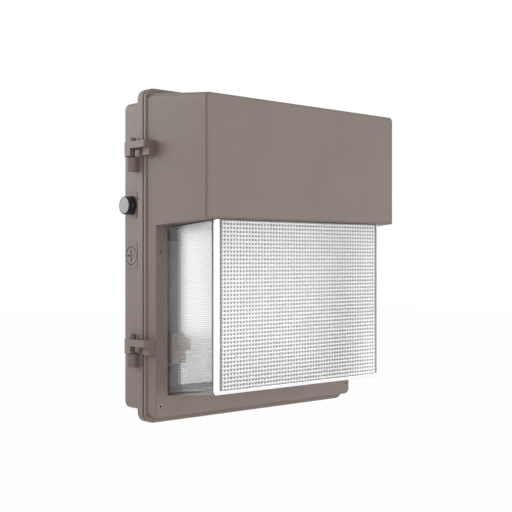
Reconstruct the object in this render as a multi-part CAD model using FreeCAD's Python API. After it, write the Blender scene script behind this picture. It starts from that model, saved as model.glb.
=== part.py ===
import FreeCAD, Part
import math
import os
from FreeCAD import Vector

# Wall pack light. Millimetres, +Z up, the wall is the plane Y = 0 and the light faces -Y.
# The origin is the middle of the wall face. Seen from the front, +X is to the right.

# ---------------------------------------------------------------- rear housing
FLANGE_WIDTH = 362.0
FLANGE_HEIGHT = 426.0
FLANGE_LIP_X = 8.5          # flange beyond the box at each side
FLANGE_LIP_Z = 13.0         # flange beyond the box above and below
BOX_WIDTH = FLANGE_WIDTH - 2 * FLANGE_LIP_X
BOX_HEIGHT = FLANGE_HEIGHT - 2 * FLANGE_LIP_Z
BOX_CORNER_R = 10.0
BOX_DEPTH = 38.6            # wall face to the rear of the flange
CASTING_WALL = 3.5
BACK_WALL = 3.5
FLANGE_CORNER_R = 13.0
FLANGE_THICK = 12.0
FLANGE_EDGE_R = 2.0
GASKET_THICK = 2.6
GASKET_BAND = 5.0
GASKET_INSET = 1.2
DIMPLE_R = 1.4              # witness mark drilled in the left edge of the flange
DIMPLE_DEPTH = 1.0
DIMPLE_Z = 73.0

# ---------------------------------------------------------------- front door
DOOR_FLANGE_THICK = 5.0
FRAME_STEP_X = 2.0          # door flange beyond the raised frame at each side
FRAME_STEP_Z = 7.0          # door flange beyond the raised frame above and below
FRAME_WIDTH = FLANGE_WIDTH - 2 * FRAME_STEP_X
FRAME_HEIGHT = FLANGE_HEIGHT - 2 * FRAME_STEP_Z
FRAME_CORNER_R = 9.0
FRAME_DEPTH = 16.8
FRAME_EDGE_R = 1.5
HOOD_DEPTH = 91.3           # from the frame's face to the hood's front
HOOD_DRAFT_X = 8.8          # how far each side leans in by the hood's front
HOOD_DRAFT_Z = 10.2         # how far the top leans down by the hood's front
HOOD_FRONT_WIDTH = FRAME_WIDTH - 2 * HOOD_DRAFT_X
HOOD_FRONT_HEIGHT = FRAME_HEIGHT - 2 * HOOD_DRAFT_Z
HOOD_CORNER_R = 6.0
HOOD_EDGE_R = 3.0
UNDERSIDE_BACK_Z = 38.0     # hood underside at the frame's face
UNDERSIDE_RISE = 7.2        # how much higher it is at the hood's front
DOOR_WALL = 3.5
SEAT_RIB = 12.0             # strip of frame above the glass opening

# ---------------------------------------------------------------- refractor
GLASS_SIDE_MARGIN = 20.1    # frame beside the glass, at the frame's face
GLASS_LOW_MARGIN = 28.9     # frame below the glass, at the frame's face
GLASS_DRAFT_X = 9.9         # how far each side leans in by the glass front
GLASS_DRAFT_Z = 7.2         # how far the bottom leans up by the glass front
GLASS_BACK_WIDTH = FRAME_WIDTH - 2 * GLASS_SIDE_MARGIN
GLASS_BACK_LOW_Z = GLASS_LOW_MARGIN - FRAME_HEIGHT / 2
GLASS_SETBACK = 7.8         # hood front to glass front
GLASS_WALL = 4.5
GLASS_CORNER_R = 5.0
GLASS_INNER_R = 2.5
GLASS_EDGE_R = 4.5
GLASS_RIM = 4.5
GLASS_RIM_THICK = 5.0
GLASS_GASKET_THICK = 2.0
OPENING_GAP = 0.8
TOP_SEAL_BACK = 3.2         # hood underside to glass, at the frame's face
TOP_SEAL_FRONT = 0.6        # the same at the glass front
TOP_SEAL_BAND = 14.0
TOP_SEAL_INSET = 1.0
TOP_OVERRUN = 12.0          # how far the bowl is drawn above its top before it is cut flat

# ---------------------------------------------------------------- hinges
HINGE_OFFSET = 2.9          # flange's edge to the hinge axis
HINGE_X = -FLANGE_WIDTH / 2 - HINGE_OFFSET
HINGE_Y = -33.0
KNUCKLE_R = 10.4
KNUCKLE_GAP = 0.8
ARM_REACH = 10.8            # hinge axis to the outer face of an arm
ARM_OUTER_X = HINGE_X - ARM_REACH
ARM_HEIGHT = 18.0
ARM_BAR_HEIGHT = 8.4
ARM_LIP = 6.0
ARM_FLANGE_GAP = 1.2
ARM_FRONT_SETBACK = 1.6     # frame face to the arm's front
ARM_BLOCK_DEPTH = 13.0
ARM_EDGE_R = 2.0
UPPER_ARM_DROP = 86.4       # top of the flange to the underside of the upper arm
LOWER_ARM_RISE = 88.6       # bottom of the flange to the underside of the lower arm
UPPER_ARM_Z = FLANGE_HEIGHT / 2 - UPPER_ARM_DROP
LOWER_ARM_Z = LOWER_ARM_RISE - FLANGE_HEIGHT / 2
LUG_R = 8.6
LUG_HEIGHT = 18.1
LUG_EDGE_R = 1.6
PIN_R = 3.0
PIN_HEAD_R = 4.7
PIN_HEAD_HEIGHT = 6.6
PIN_DOME_R = 2.3
PIN_HOLE_FLOOR = 1.0
FIT_GAP = 0.05              # radial clearance of pins, screws and threads in their holes
FACE_GAP = 0.3              # clearance between faces that move past each other

# ---------------------------------------------------------------- screws in the frame's face
SCREW_MARGIN_X = 8.6        # frame's edge to a screw, at the sides
SCREW_MARGIN_Z = 16.2       # frame's edge to the lower screws
SCREW_DROP = 33.0           # hood underside to the middle screws
SCREW_X = FRAME_WIDTH / 2 - SCREW_MARGIN_X
SCREW_MID_Z = UNDERSIDE_BACK_Z - SCREW_DROP
SCREW_LOW_Z = SCREW_MARGIN_Z - FRAME_HEIGHT / 2
SCREW_R = 2.5
SCREW_HEAD_R = 3.7
SCREW_HEAD_HEIGHT = 3.6
SCREW_HEAD_GAP = 0.3
SCREW_SOCKET_R = 1.8
SCREW_SOCKET_DEPTH = 2.0
SCREW_BOSS_R = 5.6
SCREW_BOSS_SETBACK = 3.0    # housing gasket to the end of a closing screw's boss
CLOSING_ENGAGE = 8.6
CLOSING_HOLE_GAP = 0.8
CLOSING_HOLE_SPARE = 3.0
HOUSING_BOSS_R = 6.5
HOUSING_BOSS_DEPTH = 24.0
RETAINER_THICK = 1.0
RETAINER_R = 4.4
FRAME_NUT_FLATS = 8.0
FRAME_NUT_THICK = 4.0
FRAME_SCREW_END = 0.8

# ---------------------------------------------------------------- lens clips
CLIP_LENGTH = 16.0
CLIP_THICK = 1.5
CLIP_BOSS_R = 4.0
CLIP_SCREW_R = 1.5
CLIP_SCREW_HEAD_R = 2.8
CLIP_SCREW_HEAD = 1.8
CLIP_SCREW_TIP_GAP = 1.0
CLIP_OVERLAP = 3.5
CORNER_CLIP_REACH = 14.0
SIDE_CLIP_Z = (-120.0, -45.0)
BOTTOM_CLIP_X = (-95.0, 95.0)

# ---------------------------------------------------------------- side entries
ENTRY_Y = -14.5
PAD_HALF_HEIGHT = 16.5
PAD_HALF_DEPTH = 13.0
PAD_RAISE = 0.8
ENTRY_R = 10.6
ENTRY_BOSS_R = 14.0
ENTRY_BOSS_DEPTH = 6.0
SPOTFACE_R = 12.2
SPOTFACE_DEPTH = 2.2
PLUG_Z = 0.0
PLUG_HEAD_R = 11.1
PLUG_EDGE_R = 0.5
PLUG_THREAD_R = 10.4
PLUG_THREAD_LENGTH = 7.0
PLUG_SLOT_LENGTH = 16.8
PLUG_SLOT_WIDTH = 2.6
PLUG_SLOT_DEPTH = 1.5

# ---------------------------------------------------------------- photocell
PHOTOCELL_Z = 65.2
CELL_STEM_R = 7.8
CELL_HOLE_GAP = 0.2
CELL_WASHER_R = 11.8
CELL_WASHER_THICK = 0.8
CELL_NUT_FLATS = 23.6
CELL_NUT_THICK = 5.8
CELL_COLLAR_R = 11.7
CELL_COLLAR_THICK = 4.6
CELL_COLLAR_EDGE_R = 1.2
CELL_LENS_R = 10.2
CELL_LENS_THICK = 2.4
CELL_LENS_EDGE_R = 0.5
CELL_BODY_R = 10.5
CELL_BODY_LENGTH = 16.0
CELL_LOCKNUT_FLATS = 18.6
CELL_LOCKNUT_THICK = 3.5
CELL_STEM_SPARE = 1.0

# ---------------------------------------------------------------- wall fixing
WALL_HOLE_R = 3.5
WALL_HOLE_MARGIN_X = 27.5   # box's side to a wall hole
WALL_HOLE_MARGIN_Z = 30.0   # box's top or bottom to a wall hole
WALL_HOLE_SPACING_X = BOX_WIDTH - 2 * WALL_HOLE_MARGIN_X
WALL_HOLE_SPACING_Z = BOX_HEIGHT - 2 * WALL_HOLE_MARGIN_Z
REAR_ENTRY_R = 11.1
REAR_ENTRY_Z = 95.0

# ---------------------------------------------------------------- light engine
PLATE_MARGIN_X = 33.2       # glass's side to the plate's edge
PLATE_MARGIN_Z = 11.1       # glass's bottom to the plate's lower edge
PLATE_RISE = 2.0            # hood underside to the plate's upper edge
PLATE_WIDTH = GLASS_BACK_WIDTH - 2 * PLATE_MARGIN_X
PLATE_LOW_Z = GLASS_BACK_LOW_Z + PLATE_MARGIN_Z
PLATE_HIGH_Z = UNDERSIDE_BACK_Z + PLATE_RISE
PLATE_THICK = 2.5
PLATE_FRONT_Y = -57.0
PLATE_SCREW_SPARE = 1.5
RAIL_INSET = 17.7           # plate's edge to a rail's web
RAIL_X = PLATE_WIDTH / 2 - RAIL_INSET
RAIL_WIDTH = 20.0
RAIL_THICK = 1.5
RAIL_LOW_INSET = 16.0       # plate's lower edge to the rails' lower end
RAIL_HIGH_INSET = 20.0      # plate's upper edge to the rails' upper end
RAIL_LOW_Z = PLATE_LOW_Z + RAIL_LOW_INSET
RAIL_HIGH_Z = PLATE_HIGH_Z - RAIL_HIGH_INSET
RAIL_FOOT_SCREW_END = 15.0
RAIL_SHELF_SCREW_END = 8.0
BOARD_LENGTH = 110.0
BOARD_HEIGHT = 34.0
BOARD_THICK = 1.6
BOARD_PITCH = 57.0
BOARD_MIDDLE_Z = (PLATE_LOW_Z + PLATE_HIGH_Z) / 2
BOARD_ROWS_Z = (BOARD_MIDDLE_Z - BOARD_PITCH, BOARD_MIDDLE_Z, BOARD_MIDDLE_Z + BOARD_PITCH)
CHIP_SIZE = 5.0
CHIP_THICK = 0.8
CHIP_COLUMNS = 6
REFLECTOR_THICK = 1.0
REFLECTOR_STAND = 3.4
REFLECTOR_GAP = 0.3
WINDOW_MARGIN = 2.0
BRACKET_OFFSET = 15.5       # reflector edge to the bracket's leg
BRACKET_TIP_REACH = 4.0
BRACKET_WIDE_REACH = 15.0
BRACKET_FOOT_REACH = 7.0
BRACKET_TOP_Z = -100.6
BRACKET_WIDE_TOP_Z = -105.0
BRACKET_WIDE_LOW_Z = -123.0
BRACKET_LOW_Z = -139.0

# ---------------------------------------------------------------- electrical parts
DRIVER_WIDTH = 160.0
DRIVER_HEIGHT = 60.0
DRIVER_DEPTH = 32.0
DRIVER_Z = -100.0
DRIVER_TAB = 10.0
DRIVER_TAB_THICK = 2.0
TERMINAL_X = 60.0
TERMINAL_Z = 110.0
TERMINAL_HEIGHT = 20.0
TERMINAL_DEPTH = 15.0
TERMINAL_PITCH = 12.0
TERMINAL_POLES = 3
TERMINAL_WELL_R = 2.6
TERMINAL_WELL_DEPTH = 6.0
TERMINAL_FOOT = 8.0
TERMINAL_FOOT_HEIGHT = 12.0
TERMINAL_FOOT_THICK = 3.0
CLAMP_SCREW_R = 2.4
CLAMP_SCREW_LENGTH = 5.0
GROUND_X = -60.0
GROUND_Z = 110.0
GROUND_BOSS_R = 6.0
GROUND_BOSS_HEIGHT = 6.0
RING_R = 5.0
RING_THICK = 1.0
RING_TAIL_WIDTH = 3.6
RING_TAIL_LENGTH = 14.0
BARREL_R = 2.0
BARREL_LENGTH = 6.0
SMALL_SCREW_R = 2.0
SMALL_HEAD_R = 3.6
SMALL_HEAD_HEIGHT = 2.4
SMALL_SCREW_BITE = 2.5
SMALL_HOLE_SPARE = 0.2

# ---------------------------------------------------------------- internal leads
LEAD_R = 1.3
LEAD_ARC_SHARE = 0.45       # of the shorter run, used up by each bend
LED_LEAD_X = (-38.0, -26.0)
GROMMET_R = 3.4
GROMMET_RIM_R = 4.6
GROMMET_RIM_THICK = 1.0
CELL_LEAD_SPLIT = 3.0
SUPPLY_BENDS = (
    (48.0, -11.0, 80.0),
    (45.0, -17.0, 45.0),
    (40.0, -23.0, 5.0),
    (38.0, -22.0, -35.0),
    (40.0, -19.5, -55.0),
)
LED_BENDS = (
    (-19.5, 15.0),
    (-24.0, 40.0),
)
LED_LAST_BEND_Y = -42.0
CELL_TO_TERMINAL_BENDS = (
    (-122.0, -14.5, 68.2),
    (-88.0, -15.0, 78.0),
    (-45.0, -16.0, 84.0),
    (-5.0, -16.0, 90.0),
    (20.0, -14.5, 106.0),
)
CELL_TO_DRIVER_BENDS = (
    (-122.0, -14.5, 62.2),
    (-95.0, -16.0, 42.0),
    (-72.0, -18.5, 5.0),
    (-60.0, -19.5, -35.0),
)
GROUND_BENDS = (
    (-60.0, -10.0, 72.0),
    (-30.0, -8.0, 58.0),
    (10.0, -7.0, 56.0),
    (42.0, -7.5, 66.0),
    (60.0, -11.0, 84.0),
)

# ---------------------------------------------------------------- derived places
FLANGE_BACK_Y = -BOX_DEPTH
FLANGE_FRONT_Y = FLANGE_BACK_Y - FLANGE_THICK
DOOR_BACK_Y = FLANGE_FRONT_Y - GASKET_THICK
DOOR_FACE_Y = DOOR_BACK_Y - DOOR_FLANGE_THICK
FRAME_Y = DOOR_FACE_Y - FRAME_DEPTH
HOOD_FRONT_Y = FRAME_Y - HOOD_DEPTH
GLASS_FRONT_Y = HOOD_FRONT_Y + GLASS_SETBACK
FRAME_INNER_Y = FRAME_Y + DOOR_WALL
RIM_FRONT_Y = FRAME_INNER_Y + GLASS_GASKET_THICK
RIM_BACK_Y = RIM_FRONT_Y + GLASS_RIM_THICK
CLIP_BACK_Y = RIM_BACK_Y + CLIP_THICK
CLOSING_BOSS_Y = DOOR_BACK_Y - SCREW_BOSS_SETBACK
PLATE_BACK_Y = PLATE_FRONT_Y + PLATE_THICK
BOARD_FRONT_Y = PLATE_FRONT_Y - BOARD_THICK
REFLECTOR_FRONT_Y = PLATE_FRONT_Y - REFLECTOR_STAND
REFLECTOR_HALF = PLATE_WIDTH / 2 + REFLECTOR_GAP + REFLECTOR_THICK
DRIVER_TOP_Z = DRIVER_Z + DRIVER_HEIGHT / 2
DRIVER_LEAD_Y = -BACK_WALL - DRIVER_DEPTH / 2
TERMINAL_WIDTH = TERMINAL_PITCH * TERMINAL_POLES
TERMINAL_FRONT_Y = -BACK_WALL - TERMINAL_DEPTH
TERMINAL_LEAD_Y = -BACK_WALL - TERMINAL_DEPTH / 2
GROUND_FACE_Y = -BACK_WALL - GROUND_BOSS_HEIGHT
CELL_HOLE_R = CELL_STEM_R + CELL_HOLE_GAP
CELL_COLLAR_OFFSET = CELL_WASHER_THICK + CELL_NUT_THICK
CELL_FACE_OFFSET = CELL_COLLAR_OFFSET + CELL_COLLAR_THICK
CELL_BOSS_OFFSET = -(PAD_RAISE + CASTING_WALL + ENTRY_BOSS_DEPTH)
CELL_CAN_OFFSET = CELL_BOSS_OFFSET - CELL_LOCKNUT_THICK - CELL_STEM_SPARE
CELL_END_OFFSET = CELL_CAN_OFFSET - CELL_BODY_LENGTH

SPAN = FLANGE_WIDTH + FLANGE_HEIGHT     # longer than anything in the light
REACH = SPAN / 10                       # longer than any hole is deep
OVER = 1.0                              # overrun of a cut, or sinking of a joined piece
TOUCH = 1e-6
ALONG_X = "x"
ALONG_Y = "y"
ALONG_Z = "z"
SIDES = (-1, 1)


# ---------------------------------------------------------------- shape helpers
def block(x_low, x_high, y_low, y_high, z_low, z_high):
    """Box between two corners."""
    corner = Vector(x_low, y_low, z_low)
    return Part.makeBox(x_high - x_low, y_high - y_low, z_high - z_low, corner)


def rod(start, axis, length, radius):
    """Cylinder from a start point along an axis."""
    return Part.makeCylinder(radius, length, Vector(*start), Vector(*axis))


def outline(y, half_width, z_low, z_high, radius):
    """Rounded rectangle in the plane of one Y, centred on X = 0."""
    x_in = half_width - radius
    corners = (
        (x_in, z_low + radius, -90.0),
        (x_in, z_high - radius, 0.0),
        (-x_in, z_high - radius, 90.0),
        (-x_in, z_low + radius, 180.0),
    )
    points = []
    for x, z, start in corners:
        for turn in (0.0, 45.0, 90.0):
            angle = math.radians(start + turn)
            points.append(Vector(x + radius * math.cos(angle), y, z + radius * math.sin(angle)))
    edges = []
    for corner in range(len(corners)):
        first, middle, last = points[3 * corner:3 * corner + 3]
        following = points[(3 * corner + 3) % len(points)]
        edges.append(Part.Arc(first, middle, last).toShape())
        edges.append(Part.LineSegment(last, following).toShape())
    return Part.Wire(edges)


def slab(y_front, y_back, half_width, z_low, z_high, radius):
    """Straight plate with rounded corners between two Y planes."""
    face = Part.Face(outline(y_front, half_width, z_low, z_high, radius))
    return face.extrude(Vector(0, y_back - y_front, 0))


def ring(y_front, y_back, outer, inner):
    """Flat frame between an outer and an inner (half width, low z, high z, radius)."""
    return slab(y_front, y_back, *outer).cut(slab(y_front - OVER, y_back + OVER, *inner))


def drafted(front, back):
    """Solid between two outlines, with flat drafted sides."""
    return Part.makeLoft([front, back], True, True)


def side_prism(points, half_width):
    """Polygon of (y, z) points, extruded along X on both sides of the middle."""
    corners = [Vector(-half_width, y, z) for y, z in points]
    corners.append(corners[0])
    return Part.Face(Part.makePolygon(corners)).extrude(Vector(2 * half_width, 0, 0))


def hexagon(start, axis, across, flats, length):
    """Hexagonal prism along an axis, with flats above and below."""
    radius = flats / math.sqrt(3.0)
    corners = []
    for corner in range(7):
        angle = math.radians(60.0 * corner)
        sideways = Vector(*across) * (radius * math.cos(angle))
        corners.append(Vector(*start) + sideways + Vector(0, 0, radius * math.sin(angle)))
    return Part.Face(Part.makePolygon(corners)).extrude(Vector(*axis) * length)


def lies_at(edge, axis, value):
    """Whether every end of an edge has one coordinate."""
    return all(abs(getattr(vertex.Point, axis) - value) < TOUCH for vertex in edge.Vertexes)


def edges_at(shape, *places):
    """Edges whose ends all lie at each (axis, value) place."""
    return [edge for edge in shape.Edges if all(lies_at(edge, axis, value) for axis, value in places)]


def union(shapes):
    """One solid from touching shapes."""
    return shapes[0].multiFuse(list(shapes[1:])).removeSplitter()


def without(shape, cuts):
    """A shape with several shapes cut away."""
    return shape.cut(cuts).removeSplitter()


def group(shapes):
    """Separate solids in one node."""
    return Part.makeCompound(list(shapes))


def blend(start_value, end_value, share):
    """Value part way between two ends."""
    return start_value + (end_value - start_value) * share


def lead(points):
    """Round lead along straight runs that tangent arcs join."""
    stations = [Vector(*point) for point in points]
    edges = []
    bends = []
    start = stations[0]
    for before, corner, after in zip(stations, stations[1:], stations[2:]):
        run_in = corner - before
        run_out = after - corner
        setback = LEAD_ARC_SHARE * min(run_in.Length, run_out.Length)
        half_turn = run_in.getAngle(run_out) / 2
        bend_r = setback / math.tan(half_turn)
        heading_in = run_in / run_in.Length
        heading_out = run_out / run_out.Length
        inwards = heading_out - heading_in
        inwards = inwards / inwards.Length
        arc_start = corner - heading_in * setback
        arc_middle = corner + inwards * (bend_r / math.cos(half_turn) - bend_r)
        arc_end = corner + heading_out * setback
        edges.append(Part.LineSegment(start, arc_start).toShape())
        edges.append(Part.Arc(arc_start, arc_middle, arc_end).toShape())
        start = arc_end
        bends.append(round(bend_r, 1))
    edges.append(Part.LineSegment(start, stations[-1]).toShape())
    path = Part.Wire(edges)
    section = Part.Wire(Part.makeCircle(LEAD_R, stations[0], stations[1] - stations[0]))
    tube = path.makePipeShell([section], True, False)
    print("lead bends", bends, "volume ratio", round(tube.Volume / (math.pi * LEAD_R ** 2 * path.Length), 4))
    return tube


# ---------------------------------------------------------------- drafted profiles
def door_share(y):
    return (y - DOOR_FACE_Y) / (HOOD_FRONT_Y - DOOR_FACE_Y)


def door_half_width(y):
    return blend(FRAME_WIDTH, HOOD_FRONT_WIDTH, door_share(y)) / 2


def door_half_height(y):
    return blend(FRAME_HEIGHT, HOOD_FRONT_HEIGHT, door_share(y)) / 2


def underside_z(y):
    return UNDERSIDE_BACK_Z + UNDERSIDE_RISE * (y - FRAME_Y) / (HOOD_FRONT_Y - FRAME_Y)


def glass_share(y):
    return (y - FRAME_Y) / (GLASS_FRONT_Y - FRAME_Y)


def glass_half_width(y):
    return GLASS_BACK_WIDTH / 2 - GLASS_DRAFT_X * glass_share(y)


def glass_low_z(y):
    return GLASS_BACK_LOW_Z + GLASS_DRAFT_Z * glass_share(y)


def glass_high_z(y):
    return underside_z(y) - blend(TOP_SEAL_BACK, TOP_SEAL_FRONT, glass_share(y))


def door_section(y, inset, radius):
    """Outline of the drafted door block at one Y, moved inwards by an inset."""
    half_height = door_half_height(y) - inset
    return outline(y, door_half_width(y) - inset, -half_height, half_height, radius)


def glass_bounds(y, outset, radius):
    """Size of the drafted bowl at one Y, moved outwards by an outset."""
    return (glass_half_width(y) + outset, glass_low_z(y) - outset, glass_high_z(y) + outset, radius)


def glass_section(y, outset, radius):
    return outline(y, *glass_bounds(y, outset, radius))


def tall_section(y, outset):
    """Outline of the bowl at one Y, moved outwards by an outset and carried on above its top."""
    half_width, low, high, radius = glass_bounds(y, outset, GLASS_CORNER_R)
    return outline(y, half_width, low, high + TOP_OVERRUN, radius)


def above_bowl(outset):
    """Everything above the bowl's flat top, moved up by an outset."""
    near_y = DOOR_BACK_Y
    far_y = HOOD_FRONT_Y - FRAME_DEPTH
    low_points = [(near_y, glass_high_z(near_y) + outset), (far_y, glass_high_z(far_y) + outset)]
    return side_prism(low_points + [(far_y, SPAN), (near_y, SPAN)], SPAN)


def bowl_opening(y_front, y_back):
    """Clear space around the bowl between two Y planes."""
    front = tall_section(y_front - OVER, OPENING_GAP)
    back = tall_section(y_back + OVER, OPENING_GAP)
    return drafted(front, back).cut(above_bowl(OPENING_GAP))


# ---------------------------------------------------------------- rear housing
def entry_wall_x(side):
    """Outer face of the entry pad on the left (-1) or right (1) wall."""
    return side * (BOX_WIDTH / 2 + PAD_RAISE)


def entry_material(side, z):
    """Raised pad outside the wall and round boss inside it."""
    inside_x = side * (BOX_WIDTH / 2 - OVER)
    x_pair = sorted((entry_wall_x(side), inside_x))
    y_pair = (ENTRY_Y - PAD_HALF_DEPTH, ENTRY_Y + PAD_HALF_DEPTH)
    pad = block(*x_pair, *y_pair, z - PAD_HALF_HEIGHT, z + PAD_HALF_HEIGHT)
    boss = rod((inside_x, ENTRY_Y, z), (-side, 0, 0), CASTING_WALL + ENTRY_BOSS_DEPTH - OVER, ENTRY_BOSS_R)
    return [pad, boss.cut(block(-SPAN, SPAN, 0, SPAN, -SPAN, SPAN))]


def entry_hole(side, z, radius, depth):
    """Round hole from outside the pad to a depth below its face."""
    return rod((entry_wall_x(side) + side * OVER, ENTRY_Y, z), (-side, 0, 0), depth + OVER, radius)


def lug_top_z(arm_z):
    return arm_z - FACE_GAP


def pin_hole_floor_z(arm_z):
    return lug_top_z(arm_z) - LUG_HEIGHT + PIN_HOLE_FLOOR


def hinge_lug(arm_z):
    """Lug beside the box that holds one hinge pin, with its upper edge rounded."""
    top = lug_top_z(arm_z)
    barrel = rod((HINGE_X, HINGE_Y, top - LUG_HEIGHT), (0, 0, 1), LUG_HEIGHT, LUG_R)
    root_x = OVER - BOX_WIDTH / 2
    web = block(HINGE_X, root_x, HINGE_Y - LUG_R, HINGE_Y + LUG_R, top - LUG_HEIGHT, top)
    lug = union([barrel, web])
    upper_edges = [edge for edge in edges_at(lug, (ALONG_Z, top)) if edge.CenterOfMass.x < root_x - OVER]
    return lug.makeFillet(LUG_EDGE_R, upper_edges)


def hinge_cuts(arm_z):
    """Pin hole in a lug, and the notch in the flange that the knuckle turns in."""
    hole = rod((HINGE_X, HINGE_Y, pin_hole_floor_z(arm_z)), (0, 0, 1), LUG_HEIGHT, PIN_R + FIT_GAP)
    notch_z = lug_top_z(arm_z)
    notch = rod((HINGE_X, HINGE_Y, notch_z), (0, 0, 1), ARM_HEIGHT + 2 * FACE_GAP, KNUCKLE_R + KNUCKLE_GAP)
    return [hole, notch]


def wall_holes():
    places = []
    for x_side in SIDES:
        for z_side in SIDES:
            places.append((x_side * WALL_HOLE_SPACING_X / 2, z_side * WALL_HOLE_SPACING_Z / 2))
    return places


def back_wall_hole(x, z, radius):
    return rod((x, -BACK_WALL - OVER, z), (0, 1, 0), BACK_WALL + 2 * OVER, radius)


def tapped_hole(x, y, z, depth):
    """Hole for a small screw, drilled towards the wall from a face at y."""
    return rod((x, y - OVER, z), (0, 1, 0), OVER + depth + SMALL_HOLE_SPARE, SMALL_SCREW_R + FIT_GAP)


def housing_shell():
    """Box and flange, open at the front."""
    half_w = BOX_WIDTH / 2
    half_h = BOX_HEIGHT / 2
    box = slab(FLANGE_FRONT_Y, 0, half_w, -half_h, half_h, BOX_CORNER_R)
    flange_size = (FLANGE_WIDTH / 2, -FLANGE_HEIGHT / 2, FLANGE_HEIGHT / 2, FLANGE_CORNER_R)
    flange = slab(FLANGE_FRONT_Y, FLANGE_BACK_Y, *flange_size)
    flange = flange.makeFillet(FLANGE_EDGE_R, edges_at(flange, (ALONG_Y, FLANGE_BACK_Y)))
    in_w = half_w - CASTING_WALL
    in_h = half_h - CASTING_WALL
    cavity = slab(FLANGE_FRONT_Y - OVER, -BACK_WALL, in_w, -in_h, in_h, BOX_CORNER_R - CASTING_WALL)
    return union([box, flange]).cut(cavity)


def closing_boss(z):
    """Boss behind the flange for one closing screw, kept inside the box wall."""
    boss = rod((SCREW_X, FLANGE_FRONT_Y, z), (0, 1, 0), HOUSING_BOSS_DEPTH, HOUSING_BOSS_R)
    return boss.common(block(0, BOX_WIDTH / 2, -SPAN, 0, -SPAN, SPAN))


def make_rear_housing():
    adds = []
    cuts = []
    for side in SIDES:
        adds += entry_material(side, PLUG_Z)
        cuts.append(entry_hole(side, PLUG_Z, ENTRY_R, REACH))
        cuts.append(entry_hole(side, PLUG_Z, SPOTFACE_R, SPOTFACE_DEPTH))
    adds += entry_material(-1, PHOTOCELL_Z)
    cuts.append(entry_hole(-1, PHOTOCELL_Z, CELL_HOLE_R, REACH))
    for arm_z in (UPPER_ARM_Z, LOWER_ARM_Z):
        adds.append(hinge_lug(arm_z))
        cuts += hinge_cuts(arm_z)
    for z in (SCREW_MID_Z, SCREW_LOW_Z):
        adds.append(closing_boss(z))
        start = (SCREW_X, FLANGE_FRONT_Y - OVER, z)
        depth = CLOSING_ENGAGE + CLOSING_HOLE_SPARE
        cuts.append(rod(start, (0, 1, 0), depth + OVER, SCREW_R + CLOSING_HOLE_GAP))
    adds.append(rod((GROUND_X, GROUND_FACE_Y, GROUND_Z), (0, 1, 0), GROUND_BOSS_HEIGHT + OVER, GROUND_BOSS_R))
    cuts.append(tapped_hole(GROUND_X, GROUND_FACE_Y, GROUND_Z, GROUND_BOSS_HEIGHT))
    for x, z in wall_holes():
        cuts.append(back_wall_hole(x, z, WALL_HOLE_R))
    cuts.append(back_wall_hole(0, REAR_ENTRY_Z, REAR_ENTRY_R))
    for x, z in rail_foot_screws() + driver_screw_places() + terminal_screw_places():
        cuts.append(tapped_hole(x, -BACK_WALL, z, SMALL_SCREW_BITE))
    dimple_y = FLANGE_BACK_Y - FLANGE_EDGE_R - DIMPLE_R
    dimple_start = (-FLANGE_WIDTH / 2 - OVER, dimple_y, DIMPLE_Z)
    cuts.append(rod(dimple_start, (1, 0, 0), DIMPLE_DEPTH + OVER, DIMPLE_R))
    return without(housing_shell().multiFuse(adds), cuts)


def make_housing_gasket():
    half_w = FLANGE_WIDTH / 2 - GASKET_INSET
    half_h = FLANGE_HEIGHT / 2 - GASKET_INSET
    corner_r = FLANGE_CORNER_R - GASKET_INSET
    outer = (half_w, -half_h, half_h, corner_r)
    inner = (half_w - GASKET_BAND, GASKET_BAND - half_h, half_h - GASKET_BAND, corner_r - GASKET_BAND)
    return ring(DOOR_BACK_Y, FLANGE_FRONT_Y, outer, inner)


# ---------------------------------------------------------------- hinge pins and arms
def make_hinge_pin(arm_z):
    """Drop-in pin with a domed head that rests on the arm."""
    arm_top = arm_z + ARM_HEIGHT
    low = pin_hole_floor_z(arm_z) + FACE_GAP
    shank = rod((HINGE_X, HINGE_Y, low), (0, 0, 1), arm_top - low + OVER, PIN_R)
    head = rod((HINGE_X, HINGE_Y, arm_top), (0, 0, 1), PIN_HEAD_HEIGHT, PIN_HEAD_R)
    head = head.makeFillet(PIN_DOME_R, edges_at(head, (ALONG_Z, arm_top + PIN_HEAD_HEIGHT)))
    return union([shank, head])


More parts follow.
